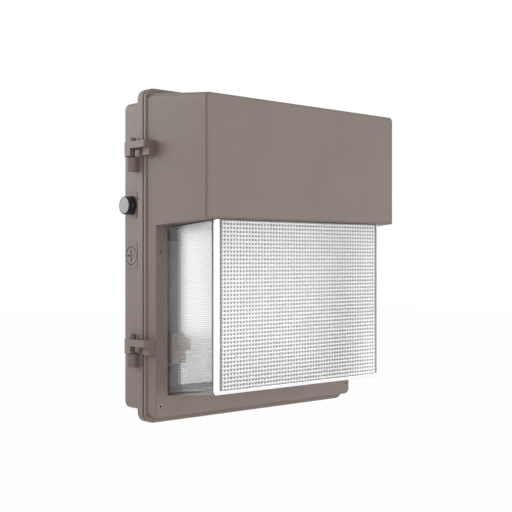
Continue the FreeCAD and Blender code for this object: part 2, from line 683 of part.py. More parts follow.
def hinge_arm(arm_z):
    """Arm from the frame's side back to the pin, open below from the knuckle out to its front corner."""
    top = arm_z + ARM_HEIGHT
    front_y = FRAME_Y + ARM_FRONT_SETBACK
    bar_inner_x = -FLANGE_WIDTH / 2 - ARM_FLANGE_GAP
    root_x = DOOR_WALL / 2 - door_half_width(DOOR_FACE_Y)
    knuckle = rod((HINGE_X, HINGE_Y, arm_z), (0, 0, 1), ARM_HEIGHT, KNUCKLE_R)
    bar = block(ARM_OUTER_X, bar_inner_x, front_y, HINGE_Y, arm_z, top)
    bar = bar.makeFillet(ARM_EDGE_R, edges_at(bar, (ALONG_X, ARM_OUTER_X), (ALONG_Y, front_y)))
    root = block(bar_inner_x - OVER, root_x, front_y, DOOR_BACK_Y, arm_z, top)
    pocket_top = top - ARM_BAR_HEIGHT
    block_back_y = front_y + ARM_BLOCK_DEPTH
    lip_x = ARM_OUTER_X + ARM_LIP
    beside_box_x = HINGE_X + KNUCKLE_R + OVER
    behind_knuckle_y = HINGE_Y + KNUCKLE_R + OVER
    pocket = block(lip_x, beside_box_x, block_back_y, behind_knuckle_y, arm_z - OVER, pocket_top)
    pocket = pocket.cut(block(bar_inner_x, beside_box_x, block_back_y, DOOR_BACK_Y, arm_z - OVER, pocket_top))
    lip_front_y = HINGE_Y - KNUCKLE_R + OVER
    mouth = block(ARM_OUTER_X - OVER, lip_x + OVER, front_y - OVER, lip_front_y, arm_z - OVER, pocket_top)
    bore = rod((HINGE_X, HINGE_Y, arm_z - OVER), (0, 0, 1), ARM_HEIGHT + 2 * OVER, PIN_R + FIT_GAP)
    return without(union([knuckle, bar, root]), [pocket, mouth, bore])


# ---------------------------------------------------------------- front door
def below_hood(rise):
    """Line under the hood, raised by a rise, from the frame's face to beyond the hood and down."""
    far_y = HOOD_FRONT_Y - FRAME_DEPTH
    return [(FRAME_Y, underside_z(FRAME_Y) + rise), (far_y, underside_z(far_y) + rise), (far_y, -SPAN)]


def frame_front_edges(body):
    """Outer edges of the frame's face, below the hood."""
    edges = edges_at(body, (ALONG_Y, FRAME_Y))
    return [edge for edge in edges if edge.CenterOfMass.z < UNDERSIDE_BACK_Z - OVER]


def door_outer():
    front = door_section(HOOD_FRONT_Y, 0, HOOD_CORNER_R)
    back = door_section(DOOR_FACE_Y, 0, FRAME_CORNER_R)
    body = drafted(front, back).cut(side_prism(below_hood(0) + [(FRAME_Y, -SPAN)], SPAN))
    body = body.makeFillet(HOOD_EDGE_R, edges_at(body, (ALONG_Y, HOOD_FRONT_Y)))
    return body.makeFillet(FRAME_EDGE_R, frame_front_edges(body))


def door_inner():
    front = door_section(HOOD_FRONT_Y + DOOR_WALL, DOOR_WALL, HOOD_CORNER_R - DOOR_WALL)
    back = door_section(DOOR_BACK_Y + OVER, DOOR_WALL, FRAME_CORNER_R - DOOR_WALL)
    rib_top = UNDERSIDE_BACK_Z + SEAT_RIB
    step = [(FRAME_INNER_Y, -SPAN), (FRAME_INNER_Y, rib_top), (FRAME_Y, rib_top)]
    return drafted(front, back).cut(side_prism(step + below_hood(DOOR_WALL), SPAN))


def face_boss(x, z, back_y, radius):
    """Round boss standing on the inside of the frame's face."""
    return rod((x, FRAME_INNER_Y - OVER, z), (0, 1, 0), back_y - FRAME_INNER_Y + OVER, radius)


def face_screw_cuts(x, z):
    """Counterbore and through hole of one screw in the frame's face."""
    start = (x, FRAME_Y - OVER, z)
    head = rod(start, (0, 1, 0), SCREW_HEAD_HEIGHT + OVER, SCREW_HEAD_R + SCREW_HEAD_GAP)
    return [head, rod(start, (0, 1, 0), REACH, SCREW_R + FIT_GAP)]


def clip_places():
    """Centre of each small clip screw and the step from it towards the glass."""
    places = []
    for z in SIDE_CLIP_Z:
        for side in SIDES:
            places.append((side * SCREW_X, z, -side, 0))
    for x in BOTTOM_CLIP_X:
        places.append((x, SCREW_LOW_Z, 0, 1))
    return places


def make_front_door():
    flange_size = (FLANGE_WIDTH / 2, -FLANGE_HEIGHT / 2, FLANGE_HEIGHT / 2, FLANGE_CORNER_R)
    flange = slab(DOOR_FACE_Y, DOOR_BACK_Y, *flange_size)
    flange = flange.makeFillet(FLANGE_EDGE_R, edges_at(flange, (ALONG_Y, DOOR_FACE_Y)))
    body = union([flange, door_outer()]).cut(door_inner())
    adds = [hinge_arm(UPPER_ARM_Z), hinge_arm(LOWER_ARM_Z)]
    cuts = [bowl_opening(FRAME_Y, FRAME_INNER_Y)]
    for z in (SCREW_MID_Z, SCREW_LOW_Z):
        adds.append(face_boss(-SCREW_X, z, RIM_BACK_Y, SCREW_BOSS_R))
        adds.append(face_boss(SCREW_X, z, CLOSING_BOSS_Y, SCREW_BOSS_R))
        cuts += face_screw_cuts(-SCREW_X, z) + face_screw_cuts(SCREW_X, z)
    for x, z, _, _ in clip_places():
        adds.append(face_boss(x, z, RIM_BACK_Y, CLIP_BOSS_R))
        cuts.append(rod((x, RIM_FRONT_Y, z), (0, 1, 0), REACH, CLIP_SCREW_R + FIT_GAP))
    return without(union([body] + adds), cuts)


# ---------------------------------------------------------------- refractor parts
def make_refractor_glass():
    """Bowl with a rounded front edge, a flat top with sharp edges, and a rim behind the frame."""
    outer = drafted(tall_section(GLASS_FRONT_Y, 0), tall_section(RIM_FRONT_Y, 0))
    outer = outer.makeFillet(GLASS_EDGE_R, edges_at(outer, (ALONG_Y, GLASS_FRONT_Y)))
    outer = outer.cut(above_bowl(0))
    rim = slab(RIM_FRONT_Y, RIM_BACK_Y, *glass_bounds(RIM_FRONT_Y, GLASS_RIM, GLASS_CORNER_R + GLASS_RIM))
    inner_front = glass_section(GLASS_FRONT_Y + GLASS_WALL, -GLASS_WALL, GLASS_INNER_R)
    inner_back = glass_section(RIM_BACK_Y + OVER, -GLASS_WALL, GLASS_INNER_R)
    return union([outer, rim]).cut(drafted(inner_front, inner_back))


def make_refractor_gasket():
    size = glass_bounds(RIM_FRONT_Y, GLASS_RIM, GLASS_CORNER_R + GLASS_RIM)
    return slab(FRAME_INNER_Y, RIM_FRONT_Y, *size).cut(bowl_opening(FRAME_INNER_Y, RIM_FRONT_Y))


def make_top_seal():
    """Flat frame of sponge between the hood's underside and the top of the glass."""
    front_y = GLASS_FRONT_Y + GLASS_EDGE_R
    points = [
        (FRAME_Y, glass_high_z(FRAME_Y)),
        (FRAME_Y, underside_z(FRAME_Y)),
        (front_y, underside_z(front_y)),
        (front_y, glass_high_z(front_y)),
    ]
    half_width = glass_half_width(front_y) - TOP_SEAL_INSET
    hole_half = half_width - TOP_SEAL_BAND
    hole = block(-hole_half, hole_half, front_y + TOP_SEAL_BAND, FRAME_Y - TOP_SEAL_BAND, -SPAN, SPAN)
    return side_prism(points, half_width).cut(hole)


def rim_edge_x():
    return glass_half_width(RIM_FRONT_Y) + GLASS_RIM


def rim_edge_z():
    return glass_low_z(RIM_FRONT_Y) - GLASS_RIM


def clip_plate(x_pair, z_pair, hole_x, hole_z, hole_r):
    """Flat clip on the back of the rim, with a hole for its screw."""
    plate = block(*sorted(x_pair), RIM_BACK_Y, CLIP_BACK_Y, *z_pair)
    return plate.cut(rod((hole_x, RIM_BACK_Y - OVER, hole_z), (0, 1, 0), CLIP_THICK + 2 * OVER, hole_r))


def make_lens_clips():
    """Small clips that hold the rim of the glass along its sides and its lower edge."""
    clips = []
    half = CLIP_LENGTH / 2
    for x, z, step_x, step_z in clip_places():
        if step_x:
            x_pair = (x - step_x * CLIP_BOSS_R, -step_x * (rim_edge_x() - CLIP_OVERLAP))
            z_pair = (z - half, z + half)
        else:
            x_pair = (x - half, x + half)
            z_pair = (z - step_z * CLIP_BOSS_R, rim_edge_z() + CLIP_OVERLAP)
        clips.append(clip_plate(x_pair, z_pair, x, z, CLIP_SCREW_R + FIT_GAP))
    return group(clips)


def make_clip_screws():
    screws = []
    for x, z, _, _ in clip_places():
        head = rod((x, CLIP_BACK_Y, z), (0, 1, 0), CLIP_SCREW_HEAD, CLIP_SCREW_HEAD_R)
        tip_y = RIM_FRONT_Y + CLIP_SCREW_TIP_GAP
        shank = rod((x, tip_y, z), (0, 1, 0), CLIP_BACK_Y - tip_y + OVER, CLIP_SCREW_R)
        screws.append(union([shank, head]))
    return group(screws)


def make_corner_clips():
    """Larger clips under the two screws on the hinge side of the frame."""
    outer_x = -SCREW_X - CLIP_BOSS_R
    half = CLIP_LENGTH / 2
    hole_r = SCREW_R + FIT_GAP
    side_pair = (outer_x, CLIP_OVERLAP - rim_edge_x())
    side_clip = clip_plate(side_pair, (SCREW_MID_Z - half, SCREW_MID_Z + half), -SCREW_X, SCREW_MID_Z, hole_r)
    corner_pair = (outer_x, CORNER_CLIP_REACH - SCREW_X)
    corner_z_pair = (SCREW_LOW_Z - CLIP_BOSS_R, SCREW_LOW_Z + CORNER_CLIP_REACH)
    return group([side_clip, clip_plate(corner_pair, corner_z_pair, -SCREW_X, SCREW_LOW_Z, hole_r)])


# ---------------------------------------------------------------- screws in the frame's face
def face_screw(x, z, end_y):
    """Socket screw set flush into the frame's face."""
    head_y = FRAME_Y + FIT_GAP
    head = rod((x, head_y, z), (0, 1, 0), SCREW_HEAD_HEIGHT - FIT_GAP, SCREW_HEAD_R)
    shank = rod((x, FRAME_Y + OVER, z), (0, 1, 0), end_y - FRAME_Y - OVER, SCREW_R)
    socket = rod((x, head_y - OVER, z), (0, 1, 0), SCREW_SOCKET_DEPTH + OVER, SCREW_SOCKET_R)
    return union([head, shank]).cut(socket)


def make_closing_screw(z):
    return face_screw(SCREW_X, z, FLANGE_FRONT_Y + CLOSING_ENGAGE)


def make_screw_retainer(z):
    """Retaining ring that keeps a closing screw captive in the door."""
    start_y = CLOSING_BOSS_Y + FACE_GAP
    disc = rod((SCREW_X, start_y, z), (0, 1, 0), RETAINER_THICK, RETAINER_R)
    return disc.cut(rod((SCREW_X, start_y - OVER, z), (0, 1, 0), RETAINER_THICK + 2 * OVER, SCREW_R))


def make_frame_screws():
    end_y = CLIP_BACK_Y + FRAME_NUT_THICK + FRAME_SCREW_END
    return group([face_screw(-SCREW_X, z, end_y) for z in (SCREW_MID_Z, SCREW_LOW_Z)])


def make_frame_nuts():
    nuts = []
    for z in (SCREW_MID_Z, SCREW_LOW_Z):
        nut = hexagon((-SCREW_X, CLIP_BACK_Y, z), (0, 1, 0), (1, 0, 0), FRAME_NUT_FLATS, FRAME_NUT_THICK)
        hole = rod((-SCREW_X, CLIP_BACK_Y - OVER, z), (0, 1, 0), FRAME_NUT_THICK + 2 * OVER, SCREW_R + FIT_GAP)
        nuts.append(nut.cut(hole))
    return group(nuts)


# ---------------------------------------------------------------- side plugs
def make_conduit_plug(side):
    """Flush plug with a cross slot, seated in the spot face of a side entry."""
    face_x = entry_wall_x(side)
    head = rod((face_x, ENTRY_Y, PLUG_Z), (-side, 0, 0), SPOTFACE_DEPTH, PLUG_HEAD_R)
    head = head.makeFillet(PLUG_EDGE_R, edges_at(head, (ALONG_X, face_x)))
    thread_length = SPOTFACE_DEPTH + PLUG_THREAD_LENGTH - OVER
    thread = rod((face_x - side * OVER, ENTRY_Y, PLUG_Z), (-side, 0, 0), thread_length, PLUG_THREAD_R)
    x_pair = sorted((face_x + side * OVER, face_x - side * PLUG_SLOT_DEPTH))
    length = PLUG_SLOT_LENGTH / 2
    width = PLUG_SLOT_WIDTH / 2
    upright = block(*x_pair, ENTRY_Y - width, ENTRY_Y + width, PLUG_Z - length, PLUG_Z + length)
    level = block(*x_pair, ENTRY_Y - length, ENTRY_Y + length, PLUG_Z - width, PLUG_Z + width)
    return without(union([head, thread]), [upright, level])


# ---------------------------------------------------------------- photocell
def cell_point(offset):
    """Point on the photocell's axis at a distance outwards from the left entry pad."""
    return (entry_wall_x(-1) - offset, ENTRY_Y, PHOTOCELL_Z)


def make_photocell_washer():
    washer = rod(cell_point(0), (-1, 0, 0), CELL_WASHER_THICK, CELL_WASHER_R)
    return washer.cut(rod(cell_point(-OVER), (-1, 0, 0), REACH, CELL_HOLE_R))


def make_photocell_nut():
    """Hexagon nut with its corners turned down towards the collar."""
    start = cell_point(CELL_WASHER_THICK)
    corner_r = CELL_NUT_FLATS / math.sqrt(3.0)
    nut = hexagon(start, (-1, 0, 0), (0, 1, 0), CELL_NUT_FLATS, CELL_NUT_THICK)
    wide_r = corner_r + CELL_NUT_THICK
    turned = Part.makeCone(wide_r, CELL_NUT_FLATS / 2, CELL_NUT_THICK, Vector(*start), Vector(-1, 0, 0))
    return nut.common(turned).cut(rod(cell_point(-OVER), (-1, 0, 0), REACH, CELL_STEM_R + FIT_GAP))


def make_photocell_body():
    """Collar, threaded stem and inner can in one moulding."""
    collar = rod(cell_point(CELL_COLLAR_OFFSET), (-1, 0, 0), CELL_COLLAR_THICK, CELL_COLLAR_R)
    face_x = cell_point(CELL_FACE_OFFSET)[0]
    collar = collar.makeFillet(CELL_COLLAR_EDGE_R, edges_at(collar, (ALONG_X, face_x)))
    stem_length = CELL_COLLAR_OFFSET - CELL_CAN_OFFSET + 2 * OVER
    stem = rod(cell_point(CELL_COLLAR_OFFSET + OVER), (1, 0, 0), stem_length, CELL_STEM_R)
    can = rod(cell_point(CELL_CAN_OFFSET), (1, 0, 0), CELL_BODY_LENGTH, CELL_BODY_R)
    seat = rod(cell_point(CELL_FACE_OFFSET + OVER), (1, 0, 0), CELL_LENS_THICK + OVER, CELL_LENS_R + FIT_GAP)
    return union([collar, stem, can]).cut(seat)


def make_photocell_lens():
    lens = rod(cell_point(CELL_FACE_OFFSET - CELL_LENS_THICK), (-1, 0, 0), CELL_LENS_THICK, CELL_LENS_R)
    face_x = cell_point(CELL_FACE_OFFSET)[0]
    return lens.makeFillet(CELL_LENS_EDGE_R, edges_at(lens, (ALONG_X, face_x)))


def make_photocell_locknut():
    nut = hexagon(cell_point(CELL_BOSS_OFFSET), (1, 0, 0), (0, 1, 0), CELL_LOCKNUT_FLATS, CELL_LOCKNUT_THICK)
    return nut.cut(rod(cell_point(0), (1, 0, 0), REACH, CELL_STEM_R + FIT_GAP))


# ---------------------------------------------------------------- light engine
def rail_foot_screws():
    places = []
    for side in SIDES:
        for z in (RAIL_LOW_Z + RAIL_FOOT_SCREW_END, RAIL_HIGH_Z - RAIL_FOOT_SCREW_END):
            places.append((side * (RAIL_X + RAIL_WIDTH / 2), z))
    return places


def plate_screw_places():
    places = []
    for side in SIDES:
        for z in (RAIL_LOW_Z + RAIL_SHELF_SCREW_END, RAIL_HIGH_Z - RAIL_SHELF_SCREW_END):
            places.append((side * (RAIL_X + RAIL_THICK - RAIL_WIDTH / 2), z))
    return places


def screw_hole(x, y_low, y_high, z, radius):
    """Clear hole through a plate that lies between two Y planes."""
    return rod((x, y_low - OVER, z), (0, 1, 0), y_high - y_low + 2 * OVER, radius)


def make_mounting_rail(side):
    """Folded Z rail: foot on the back wall, web, shelf under the heat plate."""
    web_outer = RAIL_X + RAIL_THICK
    foot_front = -BACK_WALL - RAIL_THICK
    shelf_back = PLATE_BACK_Y + RAIL_THICK
    z_pair = (RAIL_LOW_Z, RAIL_HIGH_Z)
    foot = block(*sorted((side * RAIL_X, side * (RAIL_X + RAIL_WIDTH))), foot_front, -BACK_WALL, *z_pair)
    web = block(*sorted((side * RAIL_X, side * web_outer)), PLATE_BACK_Y, -BACK_WALL, *z_pair)
    shelf_pair = sorted((side * web_outer, side * (web_outer - RAIL_WIDTH)))
    shelf = block(*shelf_pair, PLATE_BACK_Y, shelf_back, *z_pair)
    hole_r = SMALL_SCREW_R + FIT_GAP
    cuts = [screw_hole(x, foot_front, -BACK_WALL, z, hole_r) for x, z in rail_foot_screws()]
    cuts += [screw_hole(x, PLATE_BACK_Y, shelf_back, z, hole_r) for x, z in plate_screw_places()]
    return without(union([foot, web, shelf]), cuts)


def small_screw(x, head_y, z, length):
    """Screw whose head sits on a face at head_y and whose shank points to the wall."""
    head = rod((x, head_y, z), (0, -1, 0), SMALL_HEAD_HEIGHT, SMALL_HEAD_R)
    shank = rod((x, head_y - OVER, z), (0, 1, 0), length + OVER, SMALL_SCREW_R)
    return union([head, shank])


def back_wall_screws(places, thickness):
    """Screws that hold something of one thickness to the back wall."""
    head_y = -BACK_WALL - thickness
    return group([small_screw(x, head_y, z, thickness + SMALL_SCREW_BITE) for x, z in places])


def make_heat_plate():
    plate = block(-PLATE_WIDTH / 2, PLATE_WIDTH / 2, PLATE_FRONT_Y, PLATE_BACK_Y, PLATE_LOW_Z, PLATE_HIGH_Z)
    cuts = []
    for x, z in plate_screw_places():
        cuts.append(screw_hole(x, PLATE_FRONT_Y, PLATE_BACK_Y, z, SMALL_SCREW_R + FIT_GAP))
    for x in LED_LEAD_X:
        cuts.append(screw_hole(x, PLATE_FRONT_Y, PLATE_BACK_Y, BOARD_ROWS_Z[-1], GROMMET_R + FIT_GAP))
    return without(plate, cuts)


def make_plate_screws():
    length = PLATE_THICK + RAIL_THICK + PLATE_SCREW_SPARE
    return group([small_screw(x, PLATE_FRONT_Y, z, length) for x, z in plate_screw_places()])


def make_led_board(row_z):
    half = BOARD_LENGTH / 2
    half_height = BOARD_HEIGHT / 2
    return block(-half, half, BOARD_FRONT_Y, PLATE_FRONT_Y, row_z - half_height, row_z + half_height)


def make_led_chips():
    chips = []
    pitch = BOARD_LENGTH / CHIP_COLUMNS
    half = CHIP_SIZE / 2
    chip_front_y = BOARD_FRONT_Y - CHIP_THICK
    for row_z in BOARD_ROWS_Z:
        for column in range(CHIP_COLUMNS):
            x = (column - (CHIP_COLUMNS - 1) / 2) * pitch
            chips.append(block(x - half, x + half, chip_front_y, BOARD_FRONT_Y, row_z - half, row_z + half))
    return group(chips)


def make_reflector():
    """White sheet in front of the heat plate, folded back at its edges, open over the LED rows."""
    edge = REFLECTOR_GAP + REFLECTOR_THICK
    low = PLATE_LOW_Z - edge
    high = PLATE_HIGH_Z + edge
    tray = block(-REFLECTOR_HALF, REFLECTOR_HALF, REFLECTOR_FRONT_Y, PLATE_BACK_Y, low, high)
    inside_half = REFLECTOR_HALF - REFLECTOR_THICK
    inside_y = REFLECTOR_FRONT_Y + REFLECTOR_THICK
    cuts = [block(-inside_half, inside_half, inside_y, 0, low + REFLECTOR_THICK, high - REFLECTOR_THICK)]
    window = BOARD_LENGTH / 2 - WINDOW_MARGIN
    half_height = CHIP_SIZE / 2 + WINDOW_MARGIN
    for row_z in BOARD_ROWS_Z:
        y_pair = (REFLECTOR_FRONT_Y - OVER, inside_y + OVER)
        cuts.append(block(-window, window, *y_pair, row_z - half_height, row_z + half_height))
    return without(tray, cuts)


def make_reflector_bracket(side):
    """Stepped bracket that hooks one edge of the reflector and stands on the back wall."""
    leg_x = REFLECTOR_HALF + BRACKET_OFFSET
    front = REFLECTOR_FRONT_Y - RAIL_THICK
    steps = (
        (BRACKET_TIP_REACH, BRACKET_WIDE_TOP_Z, BRACKET_TOP_Z),
        (BRACKET_WIDE_REACH, BRACKET_WIDE_LOW_Z, BRACKET_WIDE_TOP_Z),
        (BRACKET_FOOT_REACH, BRACKET_LOW_Z, BRACKET_WIDE_LOW_Z),
    )
    pieces = []
    for reach, low, high in steps:
        x_pair = sorted((side * leg_x, side * (REFLECTOR_HALF - reach)))
        pieces.append(block(*x_pair, front, REFLECTOR_FRONT_Y, low, high))
    leg_pair = sorted((side * leg_x, side * (leg_x - RAIL_THICK)))
    pieces.append(block(*leg_pair, front, -BACK_WALL, BRACKET_LOW_Z, BRACKET_TOP_Z))
    return union(pieces)


# ---------------------------------------------------------------- electrical parts
def driver_screw_places():
    x = DRIVER_WIDTH / 2 + DRIVER_TAB / 2
    return [(-x, DRIVER_Z), (x, DRIVER_Z)]


def make_led_driver():
    half = DRIVER_WIDTH / 2
    low_z = DRIVER_TOP_Z - DRIVER_HEIGHT
    case = block(-half, half, -BACK_WALL - DRIVER_DEPTH, -BACK_WALL, low_z, DRIVER_TOP_Z)
    tab_half = half + DRIVER_TAB
    tab_front = -BACK_WALL - DRIVER_TAB_THICK
    tabs = block(-tab_half, tab_half, tab_front, -BACK_WALL, DRIVER_Z - DRIVER_TAB, DRIVER_Z + DRIVER_TAB)
    hole_r = SMALL_SCREW_R + FIT_GAP
    cuts = [screw_hole(x, tab_front, -BACK_WALL, z, hole_r) for x, z in driver_screw_places()]
    return without(union([case, tabs]), cuts)


def terminal_screw_places():
    x = TERMINAL_WIDTH / 2 + TERMINAL_FOOT / 2
    return [(TERMINAL_X - x, TERMINAL_Z), (TERMINAL_X + x, TERMINAL_Z)]


def terminal_pole_x(pole):
    return TERMINAL_X + (pole - (TERMINAL_POLES - 1) / 2) * TERMINAL_PITCH


def terminal_wells():
    """Places of the clamp screws, two for each pole."""
    places = []
    for pole in range(TERMINAL_POLES):
        for side in SIDES:
            places.append((terminal_pole_x(pole), TERMINAL_Z + side * TERMINAL_HEIGHT / 4))
    return places


def make_terminal_block():
    half_w = TERMINAL_WIDTH / 2
    half_h = TERMINAL_HEIGHT / 2
    x_pair = (TERMINAL_X - half_w, TERMINAL_X + half_w)
    body = block(*x_pair, TERMINAL_FRONT_Y, -BACK_WALL, TERMINAL_Z - half_h, TERMINAL_Z + half_h)
    foot_front = -BACK_WALL - TERMINAL_FOOT_THICK
    foot_pair = (x_pair[0] - TERMINAL_FOOT, x_pair[1] + TERMINAL_FOOT)
    foot_half = TERMINAL_FOOT_HEIGHT / 2
    feet = block(*foot_pair, foot_front, -BACK_WALL, TERMINAL_Z - foot_half, TERMINAL_Z + foot_half)
    hole_r = SMALL_SCREW_R + FIT_GAP
    cuts = [screw_hole(x, foot_front, -BACK_WALL, z, hole_r) for x, z in terminal_screw_places()]
    for x, z in terminal_wells():
        start = (x, TERMINAL_FRONT_Y - OVER, z)
        cuts.append(rod(start, (0, 1, 0), TERMINAL_WELL_DEPTH + OVER, TERMINAL_WELL_R))
    return without(union([body, feet]), cuts)


def make_clamp_screws():
    """Clamp screws at the bottom of the terminal block's wells."""
    start_y = TERMINAL_FRONT_Y + TERMINAL_WELL_DEPTH - CLAMP_SCREW_LENGTH
    screws = []
    for x, z in terminal_wells():
        screws.append(rod((x, start_y, z), (0, 1, 0), CLAMP_SCREW_LENGTH, CLAMP_SCREW_R))
    return group(screws)


def ring_lead_y():
    return GROUND_FACE_Y - RING_THICK / 2


def make_ground_ring():
    """Ring terminal on the ground boss, with a crimp barrel below it."""
    front_y = GROUND_FACE_Y - RING_THICK
    disc = rod((GROUND_X, GROUND_FACE_Y, GROUND_Z), (0, -1, 0), RING_THICK, RING_R)
    half = RING_TAIL_WIDTH / 2
    tail_end = GROUND_Z - RING_TAIL_LENGTH
    tail = block(GROUND_X - half, GROUND_X + half, front_y, GROUND_FACE_Y, tail_end - OVER, GROUND_Z)
    barrel = rod((GROUND_X, ring_lead_y(), tail_end), (0, 0, -1), BARREL_LENGTH, BARREL_R)
    hole = screw_hole(GROUND_X, front_y, GROUND_FACE_Y, GROUND_Z, SMALL_SCREW_R + FIT_GAP)
    return union([disc, tail, barrel]).cut(hole)


def make_ground_screw():
    return small_screw(GROUND_X, GROUND_FACE_Y - RING_THICK, GROUND_Z, GROUND_BOSS_HEIGHT + RING_THICK)


# ---------------------------------------------------------------- internal leads
def make_supply_leads():
    """Live and neutral, from the outer poles of the terminal block to the driver."""
    low_z = TERMINAL_Z - TERMINAL_HEIGHT / 2
    leads = []
    for pole in (0, TERMINAL_POLES - 1):
        shift = terminal_pole_x(pole) - terminal_pole_x(0)
        bends = [(x + shift, y, z) for x, y, z in SUPPLY_BENDS]
        start = (terminal_pole_x(pole), TERMINAL_LEAD_Y, low_z)
        leads.append(lead([start] + bends + [(bends[-1][0], DRIVER_LEAD_Y, DRIVER_TOP_Z)]))
    return group(leads)


def make_led_leads():
    """From the driver through the heat plate to the back of the upper LED board."""
    leads = []
    for x in LED_LEAD_X:
        bends = [(x, y, DRIVER_TOP_Z + rise) for y, rise in LED_BENDS]
        bends.append((x, LED_LAST_BEND_Y, BOARD_ROWS_Z[-1]))
        leads.append(lead([(x, DRIVER_LEAD_Y, DRIVER_TOP_Z)] + bends + [(x, PLATE_FRONT_Y, BOARD_ROWS_Z[-1])]))
    return group(leads)


def make_photocell_leads():
    """From the photocell to the terminal block and to the driver."""
    x, y, z = cell_point(CELL_END_OFFSET)
    block_x = TERMINAL_X - TERMINAL_WIDTH / 2
    last = CELL_TO_TERMINAL_BENDS[-1]
    upper = [(x, y, z + CELL_LEAD_SPLIT)] + list(CELL_TO_TERMINAL_BENDS) + [(block_x, last[1], last[2])]
    driver_end = (CELL_TO_DRIVER_BENDS[-1][0], DRIVER_LEAD_Y, DRIVER_TOP_Z)
    lower = [(x, y, z - CELL_LEAD_SPLIT)] + list(CELL_TO_DRIVER_BENDS) + [driver_end]
    return group([lead(upper), lead(lower)])


def make_ground_lead():
    """From the ring terminal to the middle pole of the terminal block."""
    start = (GROUND_X, ring_lead_y(), GROUND_Z - RING_TAIL_LENGTH - BARREL_LENGTH)
    end = (TERMINAL_X, TERMINAL_LEAD_Y, TERMINAL_Z - TERMINAL_HEIGHT / 2)
    return lead([start] + list(GROUND_BENDS) + [end])


def make_lead_grommets():
    """Sleeves that line the lead holes of the heat plate."""
    z = BOARD_ROWS_Z[-1]
    grommets = []
    for x in LED_LEAD_X:
        sleeve = rod((x, PLATE_FRONT_Y, z), (0, 1, 0), PLATE_THICK + GROMMET_RIM_THICK, GROMMET_R)
        rim = rod((x, PLATE_BACK_Y, z), (0, 1, 0), GROMMET_RIM_THICK, GROMMET_RIM_R)
        hole = rod((x, PLATE_FRONT_Y - OVER, z), (0, 1, 0), REACH, LEAD_R + FIT_GAP)
        grommets.append(union([sleeve, rim]).cut(hole))
    return group(grommets)


# ---------------------------------------------------------------- the whole light
def build_nodes():
    nodes = {
        "rear_housing": make_rear_housing(),
        "housing_gasket": make_housing_gasket(),
        "front_door": make_front_door(),
        "refractor_glass": make_refractor_glass(),
        "refractor_gasket": make_refractor_gasket(),
        "top_seal": make_top_seal(),
        "lens_clips": make_lens_clips(),
        "clip_screws": make_clip_screws(),
        "corner_clips": make_corner_clips(),
        "frame_screws": make_frame_screws(),
        "frame_nuts": make_frame_nuts(),
        "conduit_plug_left": make_conduit_plug(-1),
        "conduit_plug_right": make_conduit_plug(1),
        "photocell_washer": make_photocell_washer(),
        "photocell_nut": make_photocell_nut(),
        "photocell_body": make_photocell_body(),
        "photocell_lens": make_photocell_lens(),
        "photocell_locknut": make_photocell_locknut(),
        "mounting_rail_left": make_mounting_rail(-1),
        "mounting_rail_right": make_mounting_rail(1),
        "rail_screws": back_wall_screws(rail_foot_screws(), RAIL_THICK),
        "heat_plate": make_heat_plate(),
        "plate_screws": make_plate_screws(),
        "led_chips": make_led_chips(),
        "reflector": make_reflector(),
        "reflector_bracket_left": make_reflector_bracket(-1),
        "reflector_bracket_right": make_reflector_bracket(1),
        "led_driver": make_led_driver(),
        "driver_screws": back_wall_screws(driver_screw_places(), DRIVER_TAB_THICK),
        "terminal_block": make_terminal_block(),
        "terminal_screws": back_wall_screws(terminal_screw_places(), TERMINAL_FOOT_THICK),
        "clamp_screws": make_clamp_screws(),
        "ground_ring": make_ground_ring(),
        "ground_screw": make_ground_screw(),
        "supply_leads": make_supply_leads(),
        "led_leads": make_led_leads(),
        "photocell_leads": make_photocell_leads(),
        "ground_lead": make_ground_lead(),
        "lead_grommets": make_lead_grommets(),
    }
    for name, arm_z in (("upper", UPPER_ARM_Z), ("lower", LOWER_ARM_Z)):
        nodes["hinge_pin_" + name] = make_hinge_pin(arm_z)
    for name, z in (("upper", SCREW_MID_Z), ("lower", SCREW_LOW_Z)):
        nodes["closing_screw_" + name] = make_closing_screw(z)
        nodes["screw_retainer_" + name] = make_screw_retainer(z)
    for number, row_z in enumerate(BOARD_ROWS_Z, start=1):
        nodes["led_board_" + str(number)] = make_led_board(row_z)
    return nodes


def main():
    os.makedirs("parts", exist_ok=True)
    for name, shape in build_nodes().items():
        shape.exportStep("parts/" + name + ".step")
        print(name, len(shape.Solids), round(shape.Volume), shape.isValid())


main()
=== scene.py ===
import logging
import math
from dataclasses import dataclass
from enum import Enum

import bmesh
import bpy
import numpy as np
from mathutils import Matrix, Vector


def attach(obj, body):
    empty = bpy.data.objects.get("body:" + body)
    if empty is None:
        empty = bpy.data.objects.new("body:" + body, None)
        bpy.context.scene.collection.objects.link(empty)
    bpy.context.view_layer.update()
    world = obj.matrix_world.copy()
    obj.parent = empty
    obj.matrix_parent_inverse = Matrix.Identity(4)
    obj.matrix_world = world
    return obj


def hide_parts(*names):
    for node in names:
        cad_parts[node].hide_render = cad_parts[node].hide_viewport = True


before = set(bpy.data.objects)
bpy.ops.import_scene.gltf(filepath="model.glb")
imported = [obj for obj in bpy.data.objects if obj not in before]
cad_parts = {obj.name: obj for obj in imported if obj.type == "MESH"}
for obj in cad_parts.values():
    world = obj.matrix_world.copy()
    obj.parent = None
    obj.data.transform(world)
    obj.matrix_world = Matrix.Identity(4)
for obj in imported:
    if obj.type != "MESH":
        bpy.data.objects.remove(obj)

LOG = logging.getLogger("wall_pack_light")
SCREEN_GAMMA = 2.2

